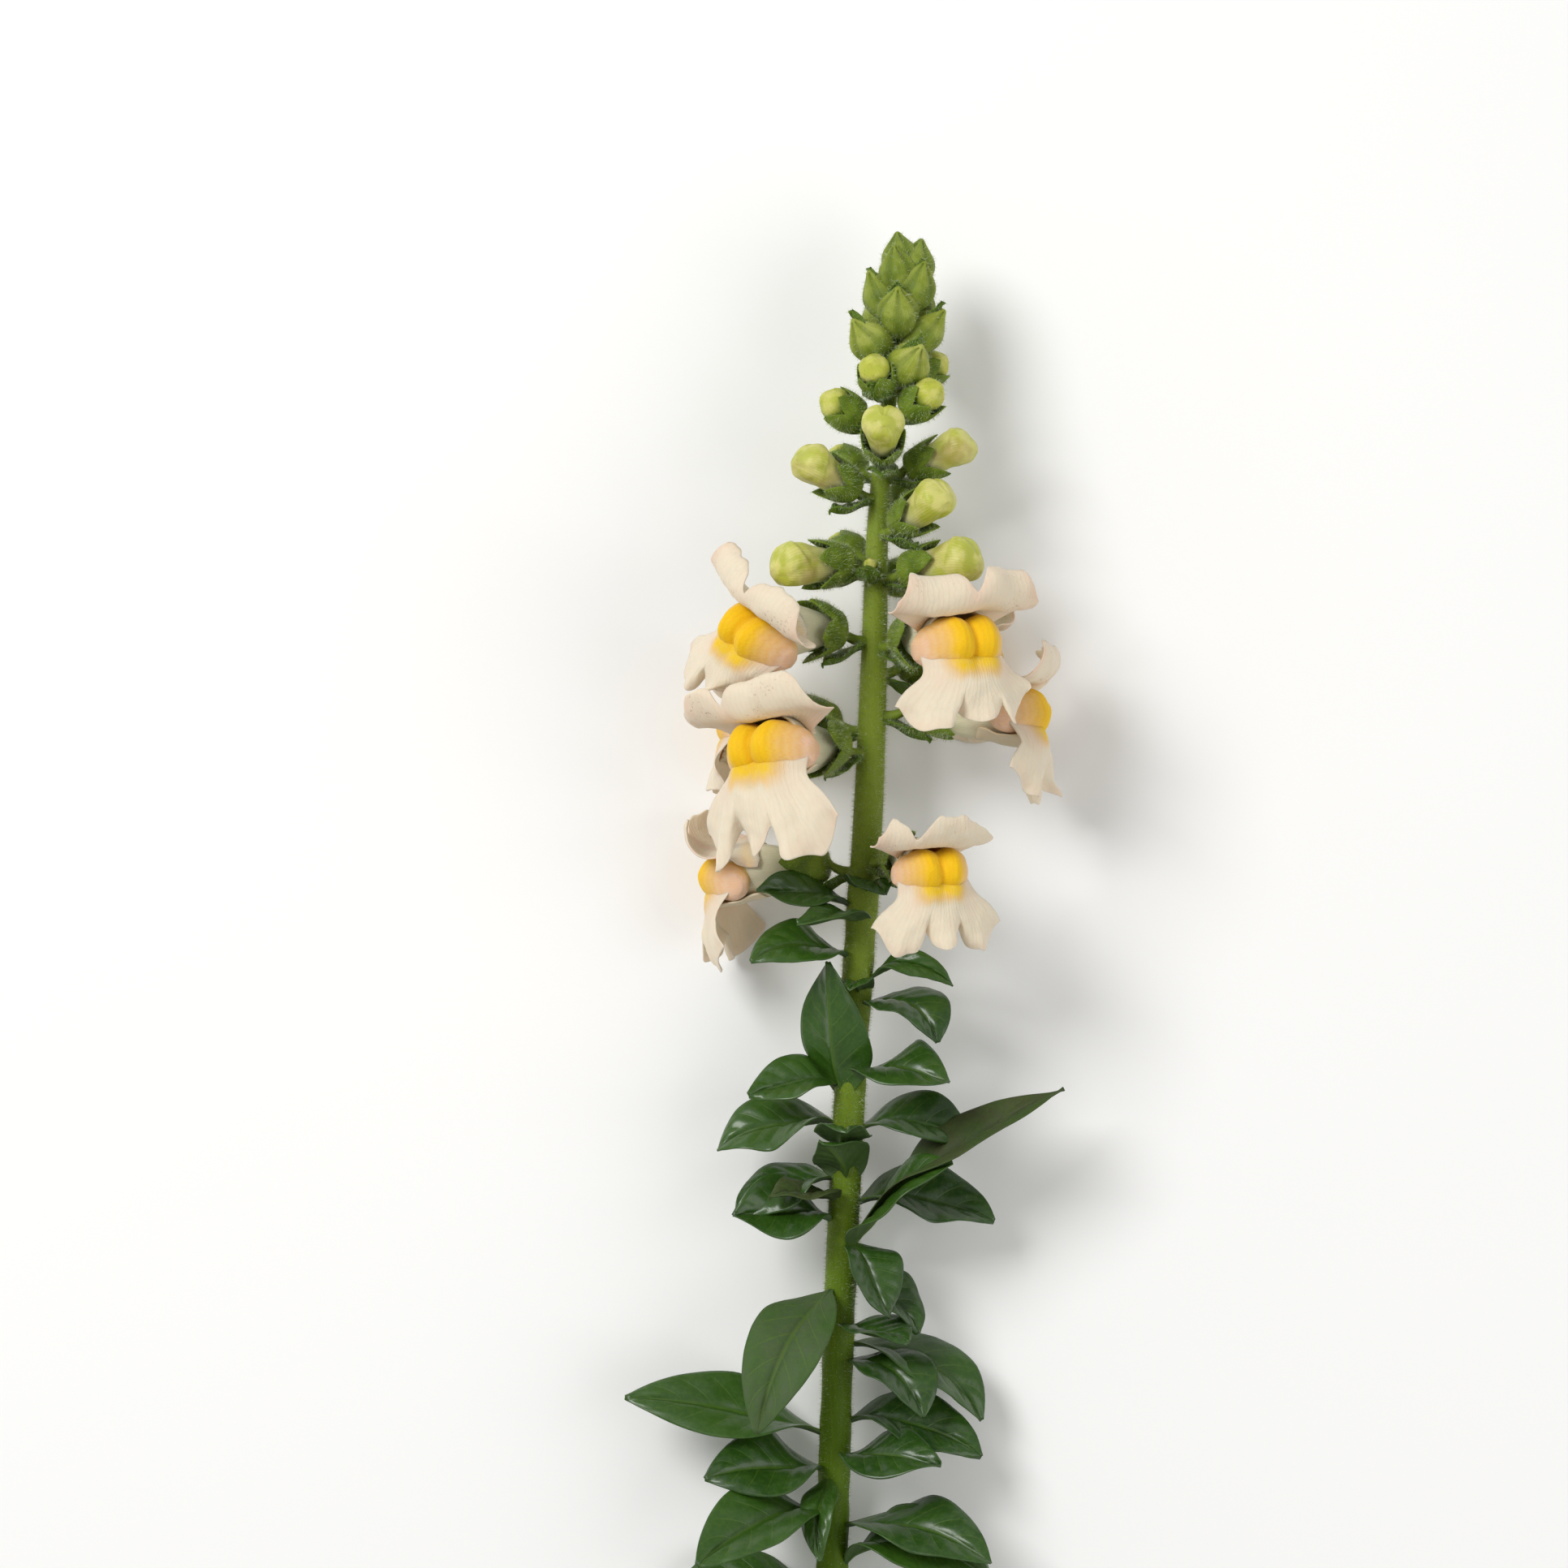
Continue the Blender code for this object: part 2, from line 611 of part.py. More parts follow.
def young_bud(seat):
    """A green bud grown into its five pointed sepals."""
    edge = [YOUNG_SEPAL_TIP, SEPAL_VALLEY] * SEPALS
    rows = [around(row) for row in CALYX_OUTSIDE]
    rows += [[(x, radius * 0.84) for x, radius in edge]]
    rows += [around(row) for row in YOUNG_HEAD]
    return lobed_cup(seat, rows, 1.0)


def shut_bud(seat):
    """A small pointed green bud near the apex."""
    rings = []
    for x, radius in SHUT_BUD:
        rings.append(ring_at(seat, x, radius, radius, 0.0, 6))
    return loft("shut_bud", rings)


def leaf_point(y, azimuth, length, width, rise, droop, side_bend, twist, phase, s, t, clearance):
    """A leaf's middle surface: arching from the stem, folded along its midrib and waved at its edge."""
    away, tipward = outward(azimuth), Vector((0.0, 1.0, 0.0))
    sideways = tipward.cross(away)
    steps = 8
    point = stem_centre(y) + away * (0.4 * stem_radius(y))
    t = max(t, 0.0)
    for k in range(steps):
        piece = min(max(t * steps - k, 0.0), 1.0)
        if t > 1 and k == steps - 1:
            piece += (t - 1) * steps
        u = (k + 0.5) / steps
        a = math.radians(blend(rise, droop, u))
        b = math.radians(side_bend * u)
        ahead = tipward * math.cos(a) + away * math.sin(a)
        ahead = (ahead * math.cos(b) + sideways * math.sin(b)).normalized()
        point = point + ahead * (piece * length / steps)
    a = math.radians(blend(rise, droop, t))
    b = math.radians(side_bend * t)
    ahead = (tipward * math.cos(a) + away * math.sin(a)) * math.cos(b) + sideways * math.sin(b)
    face = tipward * math.sin(a) - away * math.cos(a)
    w = math.radians(twist) * smooth(t * 1.6)
    edge = ahead.cross(face).normalized()
    face = edge.cross(ahead).normalized()
    edge, face = edge * math.cos(w) + face * math.sin(w), face * math.cos(w) - edge * math.sin(w)
    half = leaf_half_width(t) * width * 0.5
    fold = 0.30 * abs(s) * half
    wave = 0.8 * math.sin(2.6 * math.pi * t + phase + (1.4 if s > 0 else 0)) * abs(s) * smooth(t * 3)
    point = point + edge * (s * half * 0.95) + face * (fold + wave)
    return above_surface(point, clearance)


def leaf_half_width(t):
    """Share of the half width: a narrow stalk, widest before the middle, and a pointed tip."""
    t = min(max(t, 0.0), 1.0)
    body = math.sin(math.pi * min(1.0, max(0.0, (t - 0.06) / 0.94)) ** 0.85) ** 0.8
    return max(0.09, body)


def leaf(y, azimuth, length, width, rise, droop, side_bend, twist, phase, clearance):
    return blade(
        "leaf",
        lambda s, t: leaf_point(
            y, azimuth, length, width, rise, droop, side_bend, twist, phase, s, t, clearance
        ),
        (-1, 0, 1),
        (0, 0.14, 0.32, 0.5, 0.68, 0.85, 1),
        LEAF_THICK,
    )


def bract(y, azimuth, length, rise, droop):
    """The small leaf under each floret and bud."""
    return blade(
        "bract",
        lambda s, t: leaf_point(
            y, azimuth, length, BRACT_WIDTH, rise, droop, 0, 0, 0, s, t, FLOOR_CLEARANCE
        ),
        (-1, 0, 1),
        (0, 0.3, 0.65, 1),
        SEPAL_THICK,
    )


def stem_tube():
    """The stem itself, with one flat facet down where its cut end lies on the surface."""
    rings = []
    y = CUT_END_Y
    while y < TIP_Y - 1:
        centre, radius = stem_centre(y), stem_radius(y)
        ring = []
        for k in range(STEM_SIDES):
            a = 2 * math.pi * (k + 0.5) / STEM_SIDES - math.pi / 2
            offset = Vector((math.cos(a), 0.0, math.sin(a))) * radius
            ring.append(centre + offset)
        rings.append(ring)
        y += STEM_RING_SPACING if y < 430 else STEM_RING_SPACING * 0.7
    return loft("stem", rings, GREEN_STEM, 0.55)


def tip_pieces():
    """The shut buds and bracts of the spike's tip, on a spiral that tightens towards the apex."""
    pieces = []
    for k in range(TIP_BUDS):
        share = k / (TIP_BUDS - 1)
        y = blend(TIP_BUDS_BOTTOM_Y, TIP_BUDS_TOP_Y, share**0.85)
        azimuth = 30.0 + k * GOLDEN_ANGLE
        pitch = blend(34.0, 80.0, share)
        size = blend(*TIP_BUD_SIZES, share)
        length = blend(*TIP_BRACT_LENGTHS, share)
        seat = Seat(y, azimuth, pitch, 0.0, 0.0, size, reach=blend(0.2, -0.6, share))
        pieces.append(shut_bud(seat))
        pieces.append(bract(y - 1.6, azimuth, length, 96 - pitch, 56 - 0.6 * pitch))
    return pieces


def spiral_leaves(draw):
    """Leaves on a spiral, turned to the sides where they would point into the surface."""
    pieces = []
    for k in range(SPIRAL_LEAVES):
        share = k / (SPIRAL_LEAVES - 1)
        y = blend(SPIRAL_LEAF_TOP, SPIRAL_LEAF_BOTTOM, share)
        azimuth = (60.0 + k * GOLDEN_ANGLE + 180.0) % 360.0 - 180.0
        if abs(azimuth) > LOWEST_SIDE:
            azimuth = math.copysign(LOWEST_SIDE - draw.uniform(0, 16), azimuth)
        pieces.append(
            leaf(
                y,
                azimuth,
                draw.uniform(*SPIRAL_LEAF_LENGTH),
                draw.uniform(*SPIRAL_LEAF_WIDTH),
                draw.uniform(40, 62),
                draw.uniform(96, 140),
                draw.uniform(-20, 20),
                -math.copysign(draw.uniform(*SPIRAL_LEAF_TWIST), azimuth),
                draw.uniform(0, 6.28),
                FLOOR_CLEARANCE + draw.uniform(0.2, 1.6),
            )
        )
    return pieces


def main():
    clear_scene()
    draw = random.Random(11)
    green = []
    florets = []
    for name, y, azimuth, pitch, turn, tilt, size, *shape in FLORETS:
        seat = Seat(y, azimuth, pitch, turn, tilt, size, reach=5.0)
        florets.append((seat, name, shape))
        green.append(calyx(seat, SEPAL_TIP, SEPAL_VALLEY))
        green.append(bract(y - 1.5, azimuth, 13.0, 102.0, 120.0))
    crowd = [(seat, 23.0, 21.0 * seat.size) for seat, _, _ in florets]
    for name, y, azimuth, pitch, size in BUDS:
        seat = Seat(y, azimuth, pitch, 0.0, 0.0, size, reach=4.0 * size)
        crowd.append((seat, 13.0, 9.0 * size))
        make_bud(seat, name)
        green.append(calyx(seat, BUD_SEPAL_TIP, BUD_SEPAL_VALLEY))
        green.append(bract(y - 1.5, azimuth, 9.0 + 4.0 * size, 98.0, 104.0))
    for seat, name, shape in florets:
        seat.keep_apart([one for one in crowd if one[0] is not seat], 23.0, 21.0 * seat.size)
        make_floret(seat, name, *shape)
    for y, azimuth, pitch, size in YOUNG_BUDS:
        seat = Seat(y, azimuth, pitch, 0.0, 0.0, size, reach=3.5 * size)
        green.append(young_bud(seat))
        green.append(bract(y - 1.5, azimuth, 10.0 + 4.0 * size, 96.0, 52.0))
    green += tip_pieces()
    for row in SHOWN_LEAVES:
        green.append(leaf(*row, draw.uniform(0, 6.28), FLOOR_CLEARANCE))
    green += spiral_leaves(draw)
    stem = stem_tube()
    joined(stem, green)
    thinned(stem, STEM_KEPT)


main()
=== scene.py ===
"""A cut snapdragon stem on a pale table: finer leaves, petals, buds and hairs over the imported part.

The stem runs along +Y, cut end first, and +Z is up. The tables hold millimetres; MM turns them into
Blender's metres. The tables and the rules of shape repeat the part's own.
"""

import json
import math
import random

import bmesh
import bpy
import numpy as np
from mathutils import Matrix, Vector, noise

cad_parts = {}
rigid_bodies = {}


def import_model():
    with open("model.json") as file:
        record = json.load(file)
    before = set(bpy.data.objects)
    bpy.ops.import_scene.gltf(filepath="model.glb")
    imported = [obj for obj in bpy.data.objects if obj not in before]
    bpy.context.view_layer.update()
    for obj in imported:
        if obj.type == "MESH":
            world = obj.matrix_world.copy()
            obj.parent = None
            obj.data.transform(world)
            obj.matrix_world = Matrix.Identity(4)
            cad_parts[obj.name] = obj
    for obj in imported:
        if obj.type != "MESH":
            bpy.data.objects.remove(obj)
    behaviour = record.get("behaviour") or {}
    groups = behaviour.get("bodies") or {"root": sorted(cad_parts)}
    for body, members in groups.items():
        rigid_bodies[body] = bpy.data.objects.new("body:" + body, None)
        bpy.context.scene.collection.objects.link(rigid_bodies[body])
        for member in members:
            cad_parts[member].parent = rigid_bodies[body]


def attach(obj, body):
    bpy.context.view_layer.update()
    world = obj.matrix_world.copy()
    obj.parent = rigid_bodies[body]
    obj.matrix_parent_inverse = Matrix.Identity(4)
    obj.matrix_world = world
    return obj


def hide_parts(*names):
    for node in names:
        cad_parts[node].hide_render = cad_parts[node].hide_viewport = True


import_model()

bl_info = {
    "name": "Snapdragon stem",
    "version": (1, 0, 0),
    "blender": (4, 5, 0),
    "location": "3D View > Sidebar > Snapdragon",
    "description": "Builds a cut snapdragon stem, its flowers, leaves and hairs",
    "category": "Add Mesh",
}

MM = 0.001

# Degrees from one leaf or floret to the next round the stem, and the way to the tip
GOLDEN_ANGLE = 137.5
TIPWARD = Vector((0.0, 1.0, 0.0))

# The stem's line: distance along Y, then X, height of its axis, radius
CUT_END_Y = -20
TIP_Y = 520
STEM_LINE = (
    (-20, 0, 3.5, 3.68),
    (15, 0, 3.5, 3.68),
    (70, 0.6, 3.5, 3.68),
    (130, 1.4, 4.6, 3.7),
    (217, 2, 9.5, 3.7),
    (275, 3.6, 15.2, 3.6),
    (330, 6.2, 20.4, 3.55),
    (388, 10, 24.4, 3.5),
    (425, 11.4, 25.6, 3.1),
    (456, 12.3, 26, 2.5),
    (480, 14.4, 26.2, 1.9),
    (500, 17.4, 26.4, 1.5),
    (516, 20, 26.6, 0.8),
)

# The finer stalk: how many stations it has, its share of the line's radius, and how far and how widely
# it swells where a leaf leaves it
STALK_STATIONS = 360
STALK_SHARE = 0.95
SWELLING = 0.22
SWELLING_WIDTH = 2.4

# What would pass through the table, or into the next floret, is pressed back: how near it may come,
# how softly it is pressed, and from how far off a floret feels its neighbour
FLOOR_CLEARANCE = 0.75
NEIGHBOUR_CLEARANCE = 0.7
SOFTNESS = 1.1
PRESS_RANGE = 24

# The ball that stands for a floret or bud when florets are kept apart: its centre's reach, its radius
FLORET_BALL = (23, 21)
BUD_BALL = (13, 9)

# How long the stalks of florets, coloured buds and young buds are
FLORET_STALK = 5
BUD_STALK = 4
YOUNG_STALK = 3.5

# Corolla tube: distance along it, half width, half height, rise of its centre
TUBE = (
    (2.2, 1.4, 1.4, -0.3),
    (4.2, 2.9, 3.1, -0.5),
    (9, 4.2, 4.8, -0.6),
    (16, 6.4, 6, 0),
    (21, 7.6, 6.3, 0.4),
)
TUBE_SIDES = 48

# The rings that hollow its mouth: distance along it, how far inside its last ring
TUBE_HOLLOW = ((21, 0.5), (18.5, 0.8), (15, 2.2), (12.5, 4.2))

# The tube turns sideways from this distance on, over this run, so that the face may look elsewhere
TURN_START = 4
TURN_RUN = 11

# Palate, across the mouth: distance from the middle, half depth, half height, centre's reach and rise
PALATE = (
    (-9.2, 1.6, 2, 19.2, -1.6),
    (-7.6, 4, 3.9, 20.6, -1.1),
    (-3.7, 6.1, 5.1, 22.9, -0.1),
    (0, 5.1, 4.6, 23.2, -0.3),
    (3.7, 6.1, 5.1, 22.9, -0.1),
    (7.6, 4, 3.9, 20.6, -1.1),
    (9.2, 1.6, 2, 19.2, -1.6),
)
PALATE_SIDES = 48

# How finely the lips are made: columns across, and rows along, the upper lip, the shelf and the skirt
UPPER_GRID = (61, 34)
SHELF_GRID = (41, 12)
SKIRT_GRID = (85, 46)

# Thickness of a petal away from its margin, and of a sepal
PETAL_THICKNESS = 0.55
SEPAL_THICKNESS = 0.55

# Upper lip: half width, length of its lobes, notch between them, straight run before it rolls back
UPPER_HALF_WIDTH = 15.8
UPPER_LENGTH = 19.5
UPPER_NOTCH = 2.4
UPPER_STRAIGHT = 7.4

# Lower lip: half width at the mouth and at the lobes' ends, length of the middle and the side lobes
LOWER_MOUTH_HALF_WIDTH = 9.4
LOWER_HALF_WIDTH = 16.2
LOWER_MIDDLE_LENGTH = 13.5
LOWER_SIDE_LENGTH = 15.5
LOWER_BEND = 2.6

# The lower lip's front skin leaves the palate, and from this share of its length on it is the skirt
SKIRT_STARTS = 0.38

# Closed bud: distance along it, half width, half height, rise of its centre
BUD = (
    (2.2, 1.2, 1.2, -0.3),
    (4.2, 2.9, 3, -0.3),
    (9.5, 4.1, 4.3, 0),
    (14.5, 5.3, 5.4, 0.6),
    (18, 4.8, 4.6, 0.2),
    (20, 2.3, 2.2, -0.6),
)
BUD_SIDES = 56

# The rings that round off its top: distance along it, share of its last width
BUD_TOP = ((20.35, 0.72), (20.55, 0.4), (20.6, 0.12))

# Calyx cup: reach and radius of its foot, its shoulder, the sepals' tips and the valleys between them
CALYX_FOOT = (0, 1.3)
CALYX_SHOULDER = (1.8, 4.3)
CALYX_INSIDE = ((2.8, 3.5), (1.3, 0.5))
SEPAL_TIP = (9.8, 6.9)
SEPAL_VALLEY = (4.8, 5.5)
BUD_SEPAL_TIP = (11, 5.9)
BUD_SEPAL_VALLEY = (6, 5.2)
SEPALS = 5
COLUMNS_PER_SEPAL = 14

# A young bud's head and sepals, and a shut bud near the apex: distance along it, radius
YOUNG_HEAD = ((1.5, 1), (5.4, 3.6), (8.6, 3.6), (10.6, 1.7))
YOUNG_SEPAL_TIP = (8.2, 4.3)
YOUNG_SEPAL_VALLEY = (4.8, 4.6)
HEAD_SIDES = 40
SHUT_BUD = ((0, 1.5), (3.2, 3.4), (6.2, 3.5), (9.6, 0.8))

# Open florets: name, where the stalk leaves the stem (Y), azimuth round the stem (0 is up, 90 is right),
# pitch towards the tip, sideways turn of the face, its tilt, size, hang of the lower lip, roll radius of
# the upper lip's left and right half, where its cleft is, seed
FLORETS = (
    ("01", 427, 42, -3, -14, -4, 1.14, 0.55, 4, 4.4, 0, 1),
    ("02", 428.5, -62, 2, 14, 32, 1.10, 0.60, 4.2, 4.6, 0, 2),
    ("03", 421, 128, 2, 0, 10, 0.94, 0.70, 4.4, 5.2, 0.2, 3),
    ("04", 411.5, 82, -4, 4, 6, 1.12, 0.60, 5.2, 4.6, 0, 4),
    ("05", 408, -116, -4, 0, -8, 1.02, 0.70, 5, 4.4, -0.1, 5),
    ("06", 403, -50, -4, 14, -6, 1.18, 0.90, 5.6, 4.8, -0.3, 6),
    ("07", 378, 38, -9, -16, -6, 0.95, 0.72, 5.6, 7.2, -0.45, 7),
    ("08", 376, -106, -8, 0, 8, 1.04, 0.75, 5, 5.6, 0.1, 8),
)

# Buds with coloured heads: name, Y of the stalk, azimuth, pitch, size
BUDS = (
    ("01", 444.5, -60, -6, 1.00),
    ("02", 442.5, 58, 4, 1.02),
    ("03", 461, -58, 22, 0.88),
    ("04", 453, 42, 20, 0.90),
    ("05", 469, 0, 24, 0.88),
    ("06", 466, 76, 18, 0.84),
)

# Young green buds with open sepals: Y of the stalk, azimuth, pitch, size
YOUNG_BUDS = (
    (443, -12, 40, 0.40),
    (441, 148, 10, 0.95),
    (447, -140, 12, 0.92),
    (459, 136, 16, 0.92),
    (466, -128, 20, 0.92),
    (477, -78, 28, 0.98),
    (479, 52, 28, 1.00),
    (484, -20, 36, 0.94),
    (486, 112, 32, 0.92),
)

# Green tip of the spike: shut buds on a spiral, from the lowest to the apex
TIP_BUDS = 13
TIP_BUDS_BOTTOM_Y = 487
TIP_BUDS_TOP_Y = 509.5
TIP_BUD_SIZES = (1.36, 1.22)
TIP_BRACT_LENGTHS = (18, 13)
BRACT_WIDTH = 7.6

# Leaves seen from above: Y of the stalk, azimuth, length, width, angle from the stem at base and at tip,
# bend sideways, twist
SHOWN_LEAVES = (
    (371, 6, 14, 12, 50, 130, 30, 0),
    (365, -12, 21, 14, 80, 105, -70, 10),
    (368, -72, 24, 12, 70, 92, -5, 50),
    (356, -60, 28, 15, 62, 118, 0, 45),
    (349, 12, 10, 8, 70, 100, -50, 0),
    (350, 70, 24, 7, 40, 140, 10, -60),
    (345, 56, 25, 19, 60, 160, 4, -20),
    (330, 30, 28, 20, 75, 112, 45, -25),
    (327, -74, 23, 14, 75, 115, -5, 50),
    (322, -34, 35, 19, 24, 8, 4, 0),
    (318, -92, 30, 17, 75, 128, 0, 50),
    (317, 88, 28, 16, 70, 120, 0, -50),
    (312, -14, 16, 14, 50, 90, 30, 0),
    (306, -78, 26, 16, 85, 136, 0, 45),
    (303, 10, 20, 14, 30, 70, -50, 0),
    (300, -42, 21, 12, 60, 110, -20, 20),
    (300, 98, 34, 19, 75, 120, -8, -50),
    (296, -66, 26, 19, 72, 100, -5, 60),
    (292, 40, 22, 16, 125, 165, 10, 0),
    (291, 66, 62, 17, 44, 64, 20, -40),
    (288, 46, 36, 18, 34, 66, 22, -50),
    (284, 80, 22, 16, 100, 160, 0, -30),
    (281, -36, 44, 19, 108, 172, -8, 30),
    (271, 40, 22, 17, 80, 110, 6, -10),
    (268, 92, 38, 19, 88, 150, 0, -40),
    (264, 62, 26, 19, 80, 160, 0, -25),
    (250, 84, 34, 17, 78, 130, 0, -55),
    (247, -80, 48, 19, 72, 86, -5, 60),
    (239, -62, 31, 20, 80, 104, -10, 55),
    (242, 40, 28, 18, 80, 104, 34, -40),
    (238, -24, 24, 9, 120, 168, 14, 0),
    (229, -46, 42, 20, 80, 128, -6, 40),
    (226, 60, 40, 20, 78, 122, 8, -35),
)

# Which of those leaves are dull and tinged with brown, and which show their underside: Y and azimuth
DULL_LEAVES = ((300, -42), (291, 66))
TURNED_LEAVES = ((281, -36), (322, -34))

# Leaves placed by the spiral on the part below: how many, and between what lengths, widths and twists
SPIRAL_LEAVES = 9
SPIRAL_LEAF_TOP = 216
SPIRAL_LEAF_BOTTOM = 148
SPIRAL_LEAF_LENGTH = (32, 46)
SPIRAL_LEAF_WIDTH = (16, 20)
SPIRAL_LEAF_TWIST = (25, 60)
LOWEST_SIDE = 100

# What the camera takes in, in millimetres: middle of the picture, its width, and the height at which
# that is measured, then its lens and sensor
VIEW_CENTRE = (-9.07, 395.9)
VIEW_WIDTH = 357.4
VIEW_HEIGHT = 20.0
CAMERA_LENS = 180.0
CAMERA_SENSOR = 36.0

# The stage, in metres and watts: how far the table reaches, how far below the part its top lies, how
# bright the room is, what the lamps point at, and their names, places, sizes and powers
TABLE_REACH = 4.0
TABLE_DROP = 0.0001
ROOM_LIGHT = 0.42
LIT_POINT = (0.0, 0.36, 0.02)
LAMPS = (("key", (-0.75, 1.0, 1.15), 0.7, 15.0), ("fill", (0.9, 0.1, 0.9), 1.1, 5.0))


# Shape rules


def smooth(x):
    """0 below 0, 1 above 1, and a soft step between."""
    x = min(max(x, 0.0), 1.0)
    return x * x * (3 - 2 * x)


def blend(a, b, share):
    """From a to b."""
    return a + (b - a) * share


def hump(x, width):
    """1 at 0, falling away softly over the width."""
    return math.exp(-((x / width) ** 2))


def table_at(table, x):
    """A row read from a table by its first column, along a smooth curve through the rows."""
    last = len(table) - 1
    x = min(max(x, table[0][0]), table[last][0])
    k = 0
    while k < last - 1 and x > table[k + 1][0]:
        k += 1
    before, left, right, after = (table[min(max(i, 0), last)] for i in (k - 1, k, k + 1, k + 2))
    span = right[0] - left[0]
    u = (x - left[0]) / span
    found = []
    for column in range(1, len(left)):
        slope_left = (right[column] - before[column]) / (right[0] - before[0]) * span
        slope_right = (after[column] - left[column]) / (after[0] - left[0]) * span
        found.append(
            (2 * u**3 - 3 * u**2 + 1) * left[column]
            + (u**3 - 2 * u**2 + u) * slope_left
            + (3 * u**2 - 2 * u**3) * right[column]
            + (u**3 - u**2) * slope_right
        )
    return found


def stem_centre(y):
    """The stem's axis, which never dips below its height at the cut end."""
    x, z, _ = table_at(STEM_LINE, y)
    return Vector((x, y, max(z, STEM_LINE[0][2])))


def stem_radius(y):
    """Half the stem's thickness."""
    return table_at(STEM_LINE, y)[2]


def pressed(distance, clearance):
    """The distance from a plane, eased so that it stays above the clearance."""
    over = (distance - clearance) / SOFTNESS
    return clearance + SOFTNESS * (over if over > 20 else math.log1p(math.exp(over)))


def above_surface(point, clearance=FLOOR_CLEARANCE):
    """The point, lifted softly where it would pass through the table."""
    return Vector((point.x, point.y, pressed(point.z, clearance)))


def outward(azimuth):
    """Unit vector away from the stem: azimuth 0 is up, 90 is to the right."""
    a = math.radians(azimuth)
    return Vector((math.sin(a), 0.0, math.cos(a)))


class Seat:
    """A floret's or bud's place: where its calyx starts, its own forward, right and up, and its size."""

    def __init__(self, y, azimuth, pitch, turn, tilt, size, reach):
        away = outward(azimuth)
        p, w = math.radians(pitch), math.radians(tilt)
        self.root = stem_centre(y)
        self.forward = (away * math.cos(p) + TIPWARD * math.sin(p)).normalized()
        up = (TIPWARD * math.cos(p) - away * math.sin(p)).normalized()
        right = up.cross(self.forward)
        self.up = up * math.cos(w) + right * math.sin(w)
        self.right = right * math.cos(w) - up * math.sin(w)
        self.turn = math.radians(turn)
        self.size = size
        self.start = self.root + away * (stem_radius(y) + reach) + TIPWARD * (0.5 * reach)
        self.neighbours = []

    def place(self, x, y, z):
        """A point at x along the tube, which turns sideways, y across it and z above it."""
        share = min(max((x - TURN_START) / TURN_RUN, 0.0), 1.0)
        heading = self.turn * share
        ahead, aside = min(x, TURN_START), 0.0
        if abs(self.turn) > 1e-4:
            radius = TURN_RUN / self.turn
            ahead += radius * math.sin(heading)
            aside += radius * (1 - math.cos(heading))
        else:
            ahead += TURN_RUN * share
        beyond = max(x - TURN_START - TURN_RUN, 0.0)
        ahead += beyond * math.cos(heading) - y * math.sin(heading)
        aside += beyond * math.sin(heading) + y * math.cos(heading)
        return self.start + (self.forward * ahead + self.right * aside + self.up * z) * self.size

    def place_soft(self, x, y, z):
        """The same for a petal, pressed back by the neighbours and the table."""
        point = self.place(x, y, z)
        for border, normal in self.neighbours:
            distance = (point - border).dot(normal)
            if distance < PRESS_RANGE:
                point += normal * (pressed(distance, NEIGHBOUR_CLEARANCE) - distance)
        return above_surface(point)

    def ball(self, reach, radius):
        """Centre and radius of the ball that stands for the floret or bud."""
        return self.place(reach, 0.0, 0.0), radius * self.size

    def keep_apart(self, balls):
        """Note the planes between this floret's ball and the others that it meets."""
        heart, radius = self.ball(*FLORET_BALL)
        for other_heart, other_radius in balls:
            apart = heart - other_heart
            distance = apart.length
            if 0 < distance < radius + other_radius:
                share = (distance**2 + radius**2 - other_radius**2) / (2 * distance)
                normal = apart / distance
                self.neighbours.append((heart - normal * share, normal))


def floret_seats():
    """Each floret's seat, with the planes between it and its neighbours, its name and its shape."""
    florets = []
    for name, y, azimuth, pitch, turn, tilt, size, *shape in FLORETS:
        florets.append((Seat(y, azimuth, pitch, turn, tilt, size, FLORET_STALK), name, shape))
    balls = [seat.ball(*FLORET_BALL) for seat, _, _ in florets]
    balls += [seat.ball(*BUD_BALL) for seat, _ in bud_seats()]
    for seat, _, _ in florets:
        seat.keep_apart(balls)
    return florets


def bud_seats():
    """Each coloured bud's seat and name."""
    return [
        (Seat(y, azimuth, pitch, 0, 0, size, BUD_STALK * size), name)
        for name, y, azimuth, pitch, size in BUDS
    ]


def young_seats():
    """Each young bud's seat."""
    return [
        Seat(y, azimuth, pitch, 0, 0, size, YOUNG_STALK * size)
        for y, azimuth, pitch, size in YOUNG_BUDS
    ]


def tip_places():
    """Seat, stalk height, azimuth and bract length of each shut bud, and how far up the tip it is."""
    places = []
    for k in range(TIP_BUDS):
        share = k / (TIP_BUDS - 1)
        y = blend(TIP_BUDS_BOTTOM_Y, TIP_BUDS_TOP_Y, share**0.85)
        azimuth = 30.0 + k * GOLDEN_ANGLE
        pitch = blend(34.0, 80.0, share)
        seat = Seat(y, azimuth, pitch, 0, 0, blend(*TIP_BUD_SIZES, share), reach=blend(0.2, -0.6, share))
        places.append((seat, y, azimuth, pitch, blend(*TIP_BRACT_LENGTHS, share)))
    return places


# Meshes


def spread(values, rows, columns):
    """A mask as one long list, from a single value, a row of values, a column or the whole grid."""
    return np.broadcast_to(values, (rows, columns)).ravel().tolist()


def upright(values):
    """Values that each hold for a whole row, as a column."""
    return np.array(values)[:, None]


def face_outward(mesh):
    """Turn every face outward."""
    made = bmesh.new()
    made.from_mesh(mesh)
    bmesh.ops.recalc_face_normals(made, faces=made.faces)
    made.to_mesh(mesh)
    made.free()


